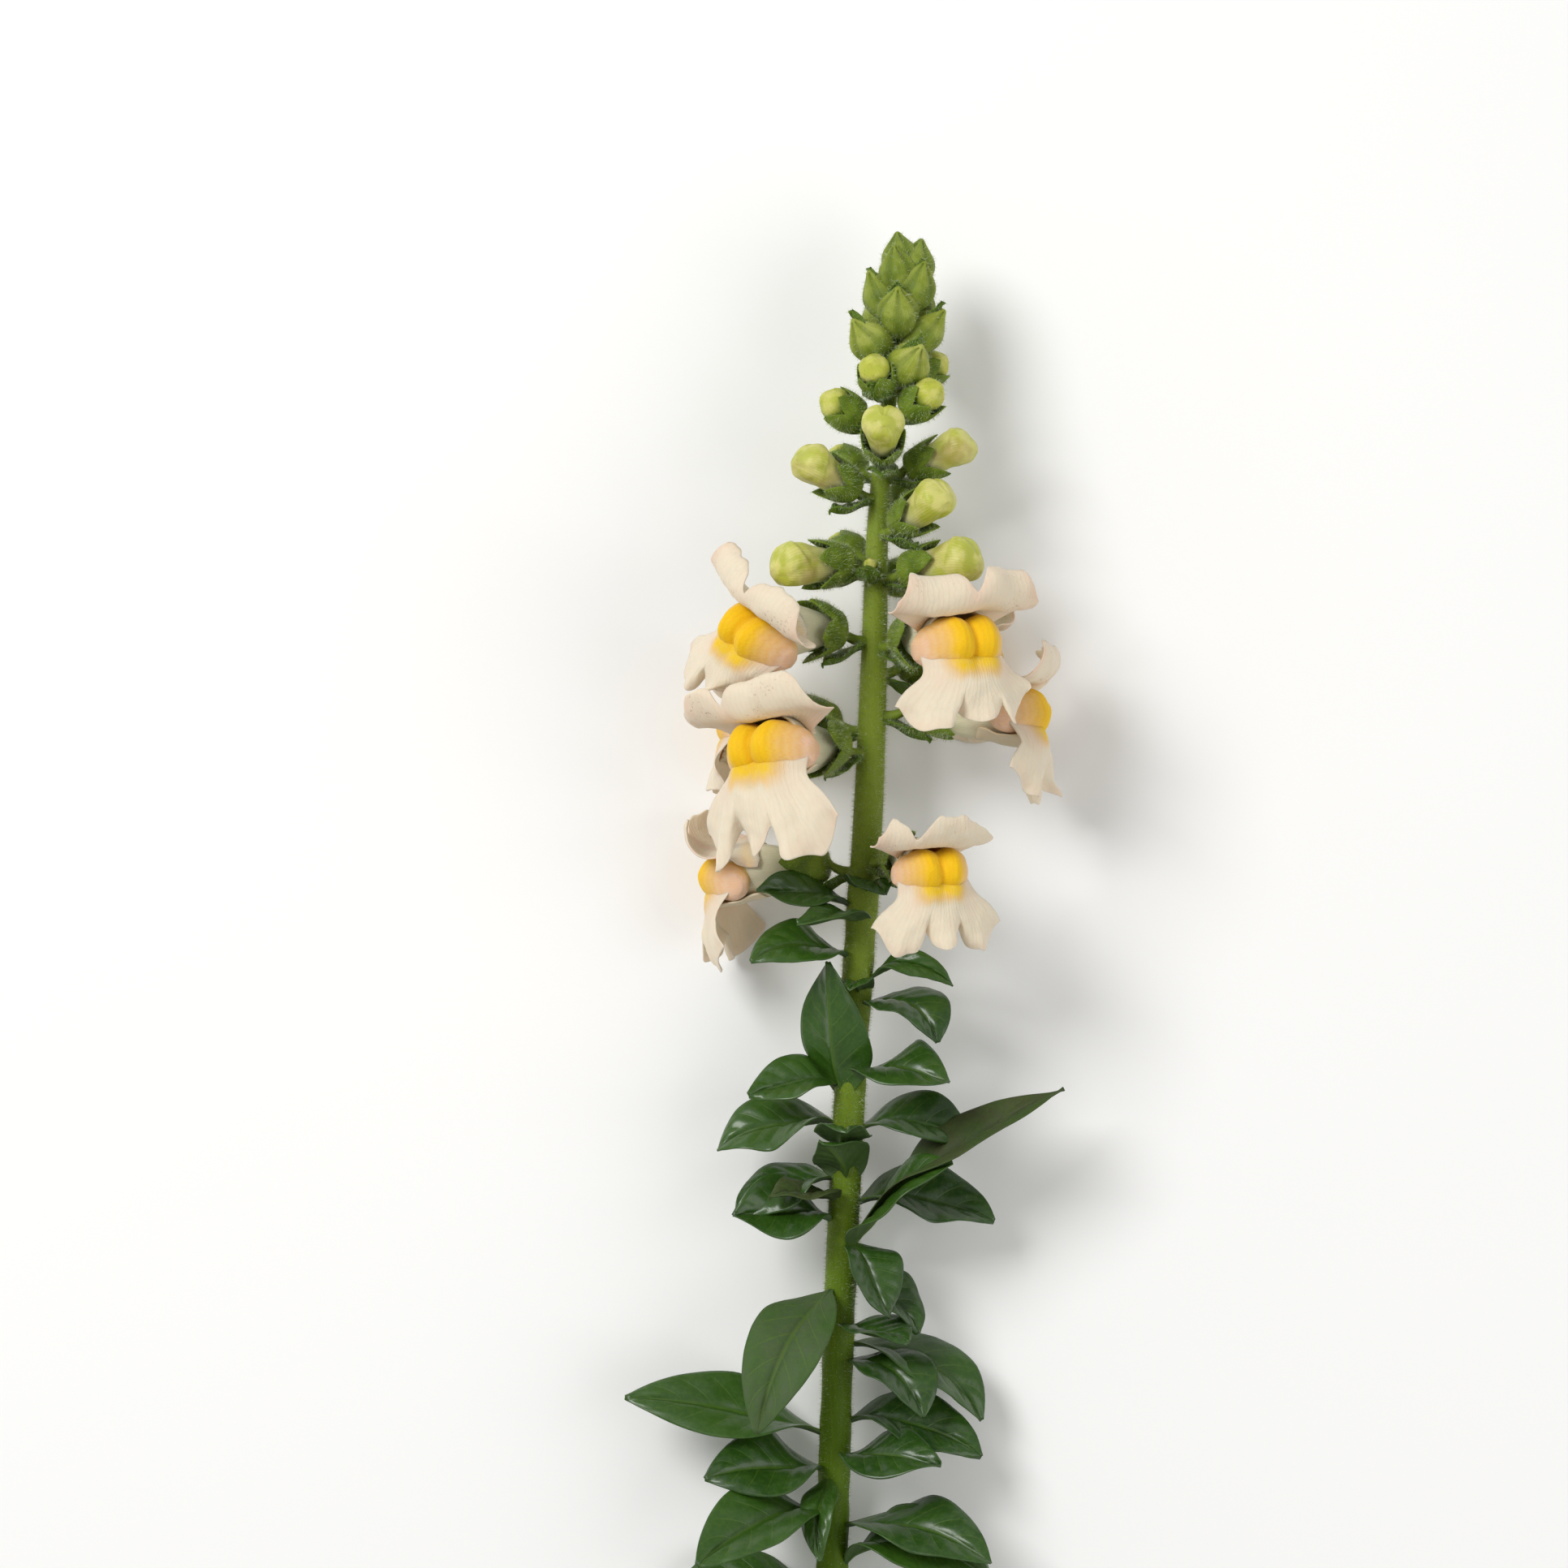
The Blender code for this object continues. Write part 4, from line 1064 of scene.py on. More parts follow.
def bract_rows():
    """The small leaf under each floret and bud."""
    rows = []
    for _, y, azimuth, *_ in FLORETS:
        rows.append((y - 1.5, azimuth, 13.0, BRACT_WIDTH, 102.0, 120.0, 0, 0))
    for _, y, azimuth, _, size in BUDS:
        rows.append((y - 1.5, azimuth, 9.0 + 4.0 * size, BRACT_WIDTH, 98.0, 104.0, 0, 0))
    for y, azimuth, _, size in YOUNG_BUDS:
        rows.append((y - 1.5, azimuth, 10.0 + 4.0 * size, BRACT_WIDTH, 96.0, 52.0, 0, 0))
    for _, y, azimuth, pitch, length in tip_places():
        rows.append((y - 1.6, azimuth, length, BRACT_WIDTH, 96 - pitch, 56 - 0.6 * pitch, 0, 0))
    return rows


# Materials


class Nodes:
    """Short ways to add nodes to a tree and to link or set what feeds them."""

    def __init__(self, tree):
        self.tree = tree

    def new(self, kind, fed=None, **settings):
        """A node with its settings, and its inputs fed by their names or numbers."""
        node = self.tree.nodes.new(kind)
        for key, value in settings.items():
            setattr(node, key, value)
        for key, value in (fed or {}).items():
            self.feed(node.inputs[key], value)
        return node

    def feed(self, socket, value):
        """Link the value, or set it where it is plain."""
        if isinstance(value, bpy.types.NodeSocket):
            self.tree.links.new(value, socket)
        elif socket.type == "RGBA":
            socket.default_value = (*value[:3], 1.0)
        else:
            socket.default_value = value

    def math(self, operation, a, b=0.0, clamp=False):
        """One sum on two numbers."""
        fed = {0: a, 1: b}
        return self.new("ShaderNodeMath", fed, operation=operation, use_clamp=clamp).outputs[0]

    def times(self, a, b):
        return self.math("MULTIPLY", a, b)

    def step(self, value, low, high, to_low=0.0, to_high=1.0):
        """The value taken from one range to another, softly and held at both ends."""
        fed = dict(enumerate((value, low, high, to_low, to_high)))
        return self.new("ShaderNodeMapRange", fed, interpolation_type="SMOOTHSTEP").outputs[0]

    def mix(self, share, a, b):
        """From colour a to colour b."""
        fed = {0: share, 6: a, 7: b}
        return self.new("ShaderNodeMix", fed, data_type="RGBA", clamp_factor=True).outputs[2]

    def mask(self, name):
        """What a piece's mask says, in a material."""
        return self.new("ShaderNodeAttribute", attribute_name=name).outputs["Fac"]

    def stored(self, name):
        """What a piece's mask says, in a geometry tree."""
        fed = {"Name": name}
        return self.new("GeometryNodeInputNamedAttribute", fed, data_type="FLOAT").outputs["Attribute"]

    def spot(self):
        """The place on the piece that is shaded."""
        return self.new("ShaderNodeTexCoord").outputs["Object"]

    def parts(self, vector):
        """X, Y and Z of a vector."""
        return self.new("ShaderNodeSeparateXYZ", {0: vector}).outputs

    def noise(self, place, scale, detail=3.0, rough=0.5):
        fed = {"Vector": place, "Scale": scale, "Detail": detail, "Roughness": rough}
        return self.new("ShaderNodeTexNoise", fed).outputs["Fac"]

    def group(self, make, **inputs):
        """What the shared group puts out here."""
        return self.new("ShaderNodeGroup", inputs, node_tree=shared_group(make)).outputs[0]

    def bump(self, height, distance, strength=1.0, normal=None):
        """The normal, tilted by the height."""
        fed = {"Strength": strength, "Distance": distance, "Height": height}
        if normal:
            fed["Normal"] = normal
        return self.new("ShaderNodeBump", fed).outputs["Normal"]


def new_group(name, inputs, output):
    """An empty shader group with number inputs and one number output."""
    tree = bpy.data.node_groups.new(name, "ShaderNodeTree")
    for label, default in inputs:
        socket = tree.interface.new_socket(label, in_out="INPUT", socket_type="NodeSocketFloat")
        socket.default_value = default
    tree.interface.new_socket(output, in_out="OUTPUT", socket_type="NodeSocketFloat")
    nodes = Nodes(tree)
    return tree, nodes, nodes.new("NodeGroupInput").outputs, nodes.new("NodeGroupOutput").inputs


def mottle_group():
    """Soft patches, light and dark."""
    tree, nodes, given, wanted = new_group("soft_patches", (("Scale", 200.0), ("Detail", 4.0)), "Shade")
    found = nodes.noise(nodes.spot(), given["Scale"], given["Detail"])
    nodes.feed(wanted["Shade"], nodes.step(found, 0.3, 0.7))
    return tree


def grain_group():
    """The fine cells of petal and leaf skin."""
    tree, nodes, given, wanted = new_group("skin_cells", (("Scale", 3000.0),), "Height")
    fed = {"Vector": nodes.spot(), "Scale": given["Scale"]}
    cells = nodes.new("ShaderNodeTexVoronoi", fed, feature="SMOOTH_F1")
    nodes.feed(wanted["Height"], nodes.math("SUBTRACT", 1.0, cells.outputs["Distance"]))
    return tree


def fan_veins_group():
    """Fine veins that fan out along a petal."""
    inputs = (("Across", 0.0), ("Along", 0.0), ("Count", 20.0), ("Wander", 1.0), ("Width", 0.3))
    tree, nodes, given, wanted = new_group("fan_veins", inputs, "Line")
    fed = {0: nodes.times(given["Across"], 2.0), 1: nodes.times(given["Along"], 3.0)}
    place = nodes.new("ShaderNodeCombineXYZ", fed).outputs[0]
    drift = nodes.times(nodes.noise(place, 3.0, 3.0), given["Wander"])
    phase = nodes.math("ADD", nodes.times(given["Across"], given["Count"]), drift)
    away = nodes.math("PINGPONG", phase, 0.5)
    nodes.feed(wanted["Line"], nodes.step(away, 0.0, given["Width"], 1.0, 0.0))
    return tree


def leaf_veins_group():
    """Side veins that sweep forward from the midrib."""
    inputs = (("Across", 0.0), ("Along", 0.0), ("Count", 7.0), ("Sweep", 1.5), ("Width", 0.08))
    tree, nodes, given, wanted = new_group("leaf_veins", inputs, "Line")
    away = nodes.math("ABSOLUTE", given["Across"])
    run = nodes.times(given["Along"], given["Count"])
    phase = nodes.math("SUBTRACT", run, nodes.times(away, given["Sweep"]))
    lines = nodes.step(nodes.math("PINGPONG", phase, 0.5), 0.0, given["Width"], 1.0, 0.0)
    rib = nodes.step(away, 0.0, 0.085, 1.0, 0.0)
    fading = nodes.times(lines, nodes.step(away, 0.5, 1.0, 0.75, 0.0))
    nodes.feed(wanted["Line"], nodes.math("MAXIMUM", rib, fading))
    return tree


def speckle_group():
    """Small scattered specks."""
    inputs = (("Scale", 900.0), ("Amount", 0.3))
    tree, nodes, given, wanted = new_group("small_specks", inputs, "Spots")
    fine = nodes.noise(nodes.spot(), given["Scale"], 2.0, 0.6)
    least = nodes.math("SUBTRACT", 0.74, nodes.times(given["Amount"], 0.16))
    most = nodes.math("ADD", least, 0.06)
    nodes.feed(wanted["Spots"], nodes.step(fine, least, most))
    return tree


GROUPS = {}


def shared_group(make):
    """The shared shader group, made the first time that it is asked for."""
    if make.__name__ not in GROUPS:
        GROUPS[make.__name__] = make()
    return GROUPS[make.__name__]


def new_material(name, **plain):
    """A material with its shader's even values set, and its nodes."""
    material = bpy.data.materials.new(name)
    material.use_nodes = True
    shader = material.node_tree.nodes["Principled BSDF"]
    nodes = Nodes(material.node_tree)
    for label, value in plain.items():
        nodes.feed(shader.inputs[label.replace("_", " ")], value)
    return material, nodes, shader


def lay_skin(nodes, shader, colour, rough, lines, cells):
    """Feed the shader its colour and roughness, and bump it by lines and by cells."""
    nodes.feed(shader.inputs["Base Color"], colour)
    nodes.feed(shader.inputs["Roughness"], rough)
    nodes.feed(shader.inputs["Normal"], nodes.bump(*cells, nodes.bump(*lines)))


def petal_material(colours):
    """Matt, velvety blush petal: fan veins, a yellow stain at the mouth, pink margins, brown specks."""
    material, nodes, shader = new_material(
        "petal_velvet",
        Subsurface_Weight=0.35,
        Subsurface_Radius=(1.0, 0.62, 0.42),
        Subsurface_Scale=0.0022,
        Sheen_Weight=0.1,
        Sheen_Roughness=0.5,
        Specular_IOR_Level=0.2,
    )
    across, along = nodes.mask("across"), nodes.mask("along")
    patches = nodes.group(mottle_group, Scale=150.0, Detail=5.0)
    fine = nodes.group(mottle_group, Scale=700.0, Detail=3.0)
    veins = nodes.group(fan_veins_group, Across=across, Along=along, Count=15.0, Wander=1.3, Width=0.3)
    specks = nodes.group(speckle_group, Scale=1500.0, Amount=0.9)
    cells = nodes.group(grain_group, Scale=4200.0)
    tint = nodes.times(nodes.mask("blush"), nodes.step(patches, 0.0, 1.0, 0.35, 1.0))
    colour = nodes.mix(tint, colours.petal, colours.petal_blush)
    stain = nodes.times(nodes.mask("stain"), nodes.step(patches, 0.0, 1.0, 0.9, 1.1))
    colour = nodes.mix(nodes.step(stain, 0.05, 0.6), colour, colours.palate_side)
    colour = nodes.mix(nodes.step(stain, 0.45, 0.95), colour, colours.palate_middle)
    base = nodes.times(nodes.mask("tube"), nodes.step(along, 0.15, 1.0, 0.9, 0.25))
    colour = nodes.mix(base, colour, colours.petal_base)
    colour = nodes.mix(nodes.times(veins, 0.11), colour, colours.petal_vein)
    colour = nodes.mix(nodes.step(fine, 0.2, 1.0, 0.0, 0.1), colour, colours.petal_vein)
    clusters = nodes.times(nodes.mask("speck"), nodes.step(patches, 0.45, 0.95))
    brown = nodes.times(specks, clusters)
    colour = nodes.mix(nodes.times(brown, 0.75), colour, colours.speck)
    colour = nodes.mix(nodes.times(clusters, 0.07), colour, colours.speck)
    rough = nodes.step(patches, 0.0, 1.0, 0.5, 0.68)
    lay_skin(nodes, shader, colour, rough, (veins, 0.00008, 0.5), (cells, 0.00003, 0.35))
    return material


def palate_material(colours):
    """Velvety palate: rich yellow in the middle, orange and peach to the sides, blush at the ends, and
    painted shade in orange along its middle crease.
    """
    material, nodes, shader = new_material(
        "palate_velvet",
        Subsurface_Weight=0.25,
        Subsurface_Radius=(1.0, 0.5, 0.15),
        Subsurface_Scale=0.002,
        Sheen_Weight=0.08,
        Sheen_Roughness=0.5,
        Specular_IOR_Level=0.15,
    )
    across, along = nodes.mask("across"), nodes.mask("along")
    patches = nodes.group(mottle_group, Scale=180.0, Detail=3.0)
    streaks = nodes.group(fan_veins_group, Across=across, Along=along, Count=9.0, Wander=1.6, Width=0.42)
    cells = nodes.group(grain_group, Scale=3600.0)
    away = nodes.math("ABSOLUTE", across)
    away = nodes.math("ADD", away, nodes.step(patches, 0.0, 1.0, -0.04, 0.04))
    away = nodes.math("ADD", away, nodes.step(along, -0.2, -1.0, 0.0, 0.22))
    colour = nodes.mix(nodes.step(away, 0.4, 0.82), colours.palate_middle, colours.palate_side)
    colour = nodes.mix(nodes.step(away, 0.75, 1.05, 0.0, 0.8), colour, colours.petal_blush)
    orange = nodes.times(streaks, nodes.step(away, 0.05, 0.5, 0.14, 0.2))
    colour = nodes.mix(orange, colour, colours.palate_orange)
    # Painted shade: the middle crease is coloured palate orange where shade would fall in it.
    crease = nodes.step(nodes.math("ABSOLUTE", across), 0.0, 0.08, 0.4, 0.0)
    colour = nodes.mix(crease, colour, colours.palate_orange)
    rough = nodes.step(patches, 0.0, 1.0, 0.55, 0.75)
    lay_skin(nodes, shader, colour, rough, (streaks, 0.00012, 0.4), (cells, 0.00005, 0.5))
    return material


def bud_material(colours):
    """Waxy lime-yellow bud, with painted highlights in soft random patches, and greener at its foot."""
    material, nodes, shader = new_material(
        "bud_lime",
        Subsurface_Weight=0.25,
        Subsurface_Radius=(0.8, 0.9, 0.3),
        Subsurface_Scale=0.002,
        Coat_Weight=0.08,
        Coat_Roughness=0.35,
        Specular_IOR_Level=0.4,
    )
    across, along = nodes.mask("across"), nodes.mask("along")
    patches = nodes.group(mottle_group, Scale=260.0, Detail=4.0)
    veins = nodes.group(fan_veins_group, Across=across, Along=along, Count=9.0, Wander=1.0, Width=0.3)
    cells = nodes.group(grain_group, Scale=3400.0)
    # Painted highlights: pale yellow laid over the bud in soft random patches.
    colour = nodes.mix(nodes.step(patches, 0.1, 0.95, 0.0, 0.8), colours.bud, colours.bud_painted_highlight)
    colour = nodes.mix(nodes.times(nodes.mask("base"), 0.75), colour, colours.petal_base)
    colour = nodes.mix(nodes.times(veins, 0.1), colour, colours.calyx)
    smudges = nodes.group(mottle_group, Scale=75.0, Detail=4.0)
    colour = nodes.mix(nodes.step(smudges, 0.7, 1.0, 0.0, 0.4), colour, colours.speck)
    rough = nodes.step(patches, 0.0, 1.0, 0.36, 0.55)
    lay_skin(nodes, shader, colour, rough, (veins, 0.00008, 0.4), (cells, 0.00004, 0.4))
    return material


def calyx_material(colours):
    """Sappy green of sepals, bracts and green buds, paler along ribs and at the points, with painted
    shade in the shut buds' pleat grooves and painted highlights on the ripe buds' lime tops.
    """
    material, nodes, shader = new_material(
        "calyx_green",
        Subsurface_Weight=0.12,
        Subsurface_Radius=(0.5, 1.0, 0.2),
        Subsurface_Scale=0.0012,
        Specular_IOR_Level=0.2,
    )
    across, along = nodes.mask("across"), nodes.mask("along")
    patches = nodes.group(mottle_group, Scale=330.0, Detail=4.0)
    veins = nodes.group(fan_veins_group, Across=across, Along=along, Count=4.0, Wander=0.5, Width=0.2)
    cells = nodes.group(grain_group, Scale=2600.0)
    colour = nodes.mix(patches, colours.calyx, colours.calyx_light)
    colour = nodes.mix(nodes.step(along, 0.55, 1.0, 0.0, 0.35), colour, colours.calyx_light)
    colour = nodes.mix(nodes.step(along, 0.4, 0.0, 0.0, 0.5), colour, colours.stem_top)
    colour = nodes.mix(nodes.times(veins, 0.28), colour, colours.stem_top)
    # Painted highlights on the lime tops, in soft random patches.
    ripe = nodes.mix(nodes.step(patches, 0.2, 1.0, 0.0, 0.6), colours.bud, colours.bud_painted_highlight)
    colour = nodes.mix(nodes.mask("lime"), colour, ripe)
    # Painted shade in the pleat grooves of the shut buds.
    colour = nodes.mix(nodes.times(nodes.mask("seam"), 0.8), colour, colours.calyx)
    colour = nodes.mix(nodes.times(nodes.mask("tint"), 1.5), colour, colours.leaf_light)
    rough = nodes.step(patches, 0.0, 1.0, 0.42, 0.6)
    lay_skin(nodes, shader, colour, rough, (veins, 0.0001, 0.5), (cells, 0.00006, 0.5))
    return material


def stem_material(colours):
    """Stem skin: yellow-green near the flowers, deeper green below, with fine lines along it."""
    material, nodes, shader = new_material(
        "stem_skin",
        Subsurface_Weight=0.1,
        Subsurface_Radius=(0.5, 1.0, 0.2),
        Subsurface_Scale=0.0015,
        Specular_IOR_Level=0.12,
    )
    place = nodes.spot()
    stretch = nodes.new("ShaderNodeMapping", {"Vector": place, "Scale": (1.0, 0.05, 1.0)})
    lines = nodes.noise(stretch.outputs[0], 1500.0, 4.0)
    patches = nodes.group(mottle_group, Scale=90.0, Detail=4.0)
    cells = nodes.group(grain_group, Scale=2200.0)
    rise = nodes.step(nodes.parts(place)[1], 0.2, 0.46)
    colour = nodes.mix(rise, colours.stem_foot, colours.stem_top)
    colour = nodes.mix(nodes.step(patches, 0.0, 1.0, 0.0, 0.2), colour, colours.calyx_light)
    colour = nodes.mix(nodes.step(lines, 0.35, 0.75, 0.0, 0.25), colour, colours.calyx_light)
    specks = nodes.group(speckle_group, Scale=1300.0, Amount=0.2)
    colour = nodes.mix(nodes.times(specks, 0.4), colour, colours.stem_pith)
    rough = nodes.step(lines, 0.3, 0.7, 0.38, 0.55)
    lay_skin(nodes, shader, colour, rough, (lines, 0.00018, 0.5), (cells, 0.00005, 0.4))
    return material


def pith_material(colours):
    """The cut end: pale pith inside a greener ring of fibres."""
    material, nodes, shader = new_material("cut_pith", Specular_IOR_Level=0.5)
    place = nodes.spot()
    fed = {"Vector": place, "Location": (0.0, 0.0, -STEM_LINE[0][2] * MM)}
    x, _, z = nodes.parts(nodes.new("ShaderNodeMapping", fed).outputs[0])
    square = nodes.math("ADD", nodes.times(x, x), nodes.times(z, z))
    radius = nodes.math("DIVIDE", nodes.math("SQRT", square), STEM_LINE[0][3] * MM)
    fibres = nodes.noise(place, 2600.0, 2.0)
    ring = nodes.times(nodes.step(radius, 0.5, 0.72), nodes.step(fibres, 0.4, 0.6, 0.4, 1.0))
    colour = nodes.mix(ring, colours.stem_pith, colours.calyx_light)
    colour = nodes.mix(nodes.step(radius, 0.84, 0.98), colour, colours.stem_foot)
    nodes.feed(shader.inputs["Base Color"], colour)
    nodes.feed(shader.inputs["Roughness"], nodes.step(fibres, 0.3, 0.7, 0.45, 0.7))
    nodes.feed(shader.inputs["Normal"], nodes.bump(fibres, 0.0002, 0.6))
    return material


def leaf_material(colours):
    """Glossy dark leaf with a lighter midrib, grey-green and matt below; a few are dull and brownish."""
    material, nodes, shader = new_material(
        "leaf_gloss",
        Subsurface_Weight=0.06,
        Subsurface_Radius=(0.4, 1.0, 0.2),
        Subsurface_Scale=0.001,
        Coat_Roughness=0.24,
        Specular_IOR_Level=0.3,
    )
    across, along, side = nodes.mask("across"), nodes.mask("along"), nodes.mask("side")
    patches = nodes.group(mottle_group, Scale=110.0, Detail=5.0)
    fine = nodes.group(mottle_group, Scale=900.0, Detail=3.0)
    veins = nodes.group(leaf_veins_group, Across=across, Along=along, Count=7.0, Sweep=1.5, Width=0.07)
    cells = nodes.group(grain_group, Scale=2400.0)
    top = nodes.mix(nodes.mask("tint"), colours.leaf, colours.leaf_light)
    top = nodes.mix(nodes.step(patches, 0.2, 1.0, 0.0, 0.4), top, colours.leaf_light)
    top = nodes.mix(nodes.step(along, 0.22, 0.0, 0.0, 0.9), top, colours.leaf_rib)
    top = nodes.mix(nodes.times(veins, 0.32), top, colours.leaf_rib)
    paler = nodes.step(patches, 0.0, 1.0, 0.0, 0.5)
    below = nodes.mix(paler, colours.leaf_underside, colours.leaf_light)
    below = nodes.mix(nodes.times(veins, 0.5), below, colours.leaf_rib)
    colour = nodes.mix(side, below, top)
    dull = nodes.times(nodes.mask("dull"), nodes.step(patches, 0.0, 1.0, 0.45, 0.9))
    colour = nodes.mix(dull, colour, colours.leaf_brown)
    colour = nodes.mix(nodes.step(fine, 0.3, 1.0, 0.0, 0.12), colour, colours.leaf_rib)
    nodes.feed(shader.inputs["Base Color"], colour)
    shine = nodes.math("SUBTRACT", side, nodes.mask("dull"), clamp=True)
    nodes.feed(shader.inputs["Coat Weight"], nodes.times(shine, 0.55))
    rough = nodes.math("SUBTRACT", 0.62, nodes.times(shine, 0.22))
    nodes.feed(shader.inputs["Roughness"], nodes.math("ADD", rough, nodes.times(fine, 0.08)))
    lines = nodes.bump(nodes.math("SUBTRACT", 1.0, veins), 0.00016, 0.5)
    nodes.feed(shader.inputs["Normal"], nodes.bump(cells, 0.00007, 0.45, lines))
    return material


def hair_material(colours):
    """Fine white hairs."""
    material, nodes, shader = new_material(
        "white_hairs", Subsurface_Weight=0.2, Subsurface_Scale=0.0005, Specular_IOR_Level=0.5
    )
    patches = nodes.group(mottle_group, Scale=600.0, Detail=2.0)
    nodes.feed(shader.inputs["Base Color"], nodes.mix(patches, colours.hair, colours.calyx_light))
    nodes.feed(shader.inputs["Roughness"], nodes.step(patches, 0.0, 1.0, 0.35, 0.5))
    return material


def floor_material(colours):
    """A plain pale table."""
    material, nodes, shader = new_material("pale_table", Specular_IOR_Level=0.2)
    patches = nodes.group(mottle_group, Scale=6.0, Detail=3.0)
    faint = nodes.step(patches, 0.0, 1.0, 0.0, 0.05)
    nodes.feed(shader.inputs["Base Color"], nodes.mix(faint, colours.table, colours.table_shade))
    nodes.feed(shader.inputs["Roughness"], nodes.step(patches, 0.0, 1.0, 0.7, 0.8))
    return material


MATERIALS = {}


def shared_material(make):
    """The material in the colours that the user has chosen, made the first time that it is asked for."""
    if make.__name__ not in MATERIALS:
        MATERIALS[make.__name__] = make(bpy.context.scene.snapdragon_colours)
    return MATERIALS[make.__name__]


# Geometry node trees


def new_tree(name, inputs):
    """An empty geometry tree: the tree, its nodes, the named inputs and the wanted geometry."""
    tree = bpy.data.node_groups.new(name, "GeometryNodeTree")
    tree.interface.new_socket("Geometry", in_out="INPUT", socket_type="NodeSocketGeometry")
    for label, kind in inputs:
        tree.interface.new_socket(label, in_out="INPUT", socket_type="NodeSocket" + kind)
    tree.interface.new_socket("Geometry", in_out="OUTPUT", socket_type="NodeSocketGeometry")
    nodes = Nodes(tree)
    return tree, nodes, nodes.new("NodeGroupInput").outputs, nodes.new("NodeGroupOutput").inputs


def stalk_tree():
    """Sweeps a circle along the stem's line, closes both ends and gives the cut end its own material."""
    inputs = (("Sides", "Int"), ("Skin", "Material"), ("Cut", "Material"))
    tree, nodes, given, wanted = new_tree("sweep_stalk", inputs)
    line = nodes.new("GeometryNodeMeshToCurve", {"Mesh": given["Geometry"]})
    fed = {"Resolution": given["Sides"], "Radius": 1.0}
    circle = nodes.new("GeometryNodeCurvePrimitiveCircle", fed)
    fed = {
        "Curve": line.outputs["Curve"],
        "Profile Curve": circle.outputs["Curve"],
        "Scale": nodes.stored("girth"),
        "Fill Caps": True,
    }
    sweep = nodes.new("GeometryNodeCurveToMesh", fed)
    real = nodes.new("GeometryNodeRealizeInstances", {"Geometry": sweep.outputs["Mesh"]})
    fed = {"Geometry": real.outputs["Geometry"], "Material": given["Skin"]}
    skin = nodes.new("GeometryNodeSetMaterial", fed)
    facing = nodes.parts(nodes.new("GeometryNodeInputNormal").outputs["Normal"])
    place = nodes.parts(nodes.new("GeometryNodeInputPosition").outputs["Position"])
    level = nodes.math("GREATER_THAN", nodes.math("ABSOLUTE", facing[1]), 0.9)
    low = nodes.math("LESS_THAN", place[1], (CUT_END_Y + 0.2) * MM)
    fed = {
        "Geometry": skin.outputs["Geometry"],
        "Selection": nodes.times(level, low),
        "Material": given["Cut"],
    }
    cut = nodes.new("GeometryNodeSetMaterial", fed)
    nodes.feed(wanted["Geometry"], cut.outputs["Geometry"])
    return tree


def hair_tree():
    """Scatters fine pointed hairs over a piece, thicker where its fuzz mask is high."""
    numbers = ("Density", "Length", "Thickness", "Lean")
    inputs = (*((label, "Float") for label in numbers), ("Seed", "Int"), ("Material", "Material"))
    tree, nodes, given, wanted = new_tree("scatter_hairs", inputs)
    fed = {
        "Mesh": given["Geometry"],
        "Density": nodes.times(given["Density"], nodes.stored("fuzz")),
        "Seed": given["Seed"],
    }
    scatter = nodes.new("GeometryNodeDistributePointsOnFaces", fed, distribute_method="RANDOM")
    fed = {0: (-1.0, -1.0, -1.0), 1: (1.0, 1.0, 1.0), "Seed": given["Seed"]}
    stray = nodes.new("FunctionNodeRandomValue", fed, data_type="FLOAT_VECTOR")
    fed = {0: stray.outputs[0], "Scale": given["Lean"]}
    leaned = nodes.new("ShaderNodeVectorMath", fed, operation="SCALE")
    fed = {0: scatter.outputs["Normal"], 1: leaned.outputs[0]}
    heading = nodes.new("ShaderNodeVectorMath", fed, operation="ADD")
    fed = {"Vector": heading.outputs[0]}
    turned = nodes.new("FunctionNodeAlignRotationToVector", fed, axis="Z")
    fed = {
        "Vertices": 3,
        "Radius Top": 0.0,
        "Radius Bottom": nodes.times(given["Thickness"], 0.5),
        "Depth": given["Length"],
    }
    hair = nodes.new("GeometryNodeMeshCone", fed)
    fed = {2: 0.45, 3: 1.0, "Seed": nodes.math("ADD", given["Seed"], 7.0)}
    growth = nodes.new("FunctionNodeRandomValue", fed, data_type="FLOAT")
    place = nodes.parts(nodes.new("GeometryNodeInputPosition").outputs["Position"])
    fed = {
        "Points": scatter.outputs["Points"],
        "Selection": nodes.math("GREATER_THAN", place[2], given["Length"]),
        "Instance": hair.outputs["Mesh"],
        "Rotation": turned.outputs["Rotation"],
        "Scale": growth.outputs[1],
    }
    plant = nodes.new("GeometryNodeInstanceOnPoints", fed)
    real = nodes.new("GeometryNodeRealizeInstances", {"Geometry": plant.outputs["Instances"]})
    fed = {"Geometry": real.outputs["Geometry"], "Material": given["Material"]}
    white = nodes.new("GeometryNodeSetMaterial", fed)
    nodes.feed(wanted["Geometry"], white.outputs["Geometry"])
    return tree


def grown(name, source_mesh, tree, **values):
    """A plain mesh object of what the tree makes from the source mesh."""
    carrier = bpy.data.objects.new(name + "_source", source_mesh)
    bpy.context.scene.collection.objects.link(carrier)
    growth = carrier.modifiers.new("grow", "NODES")
    growth.node_group = tree
    for socket in tree.interface.items_tree:
        if socket.in_out == "INPUT" and socket.name in values:
            growth[socket.identifier] = values[socket.name]
    bpy.context.view_layer.update()
    ready = carrier.evaluated_get(bpy.context.evaluated_depsgraph_get())
    mesh = bpy.data.meshes.new_from_object(ready)
    mesh.name = name
    bpy.data.objects.remove(carrier)
    if not mesh.polygons:
        raise RuntimeError(name + " came out empty")
    obj = bpy.data.objects.new(name, mesh)
    bpy.context.scene.collection.objects.link(obj)
    return obj


# What a user may change


def colour_property(name, description, value):
    """A colour in the panel."""
    return bpy.props.FloatVectorProperty(
        name=name, description=description, subtype="COLOR", size=3, min=0.0, max=1.0, default=value
    )


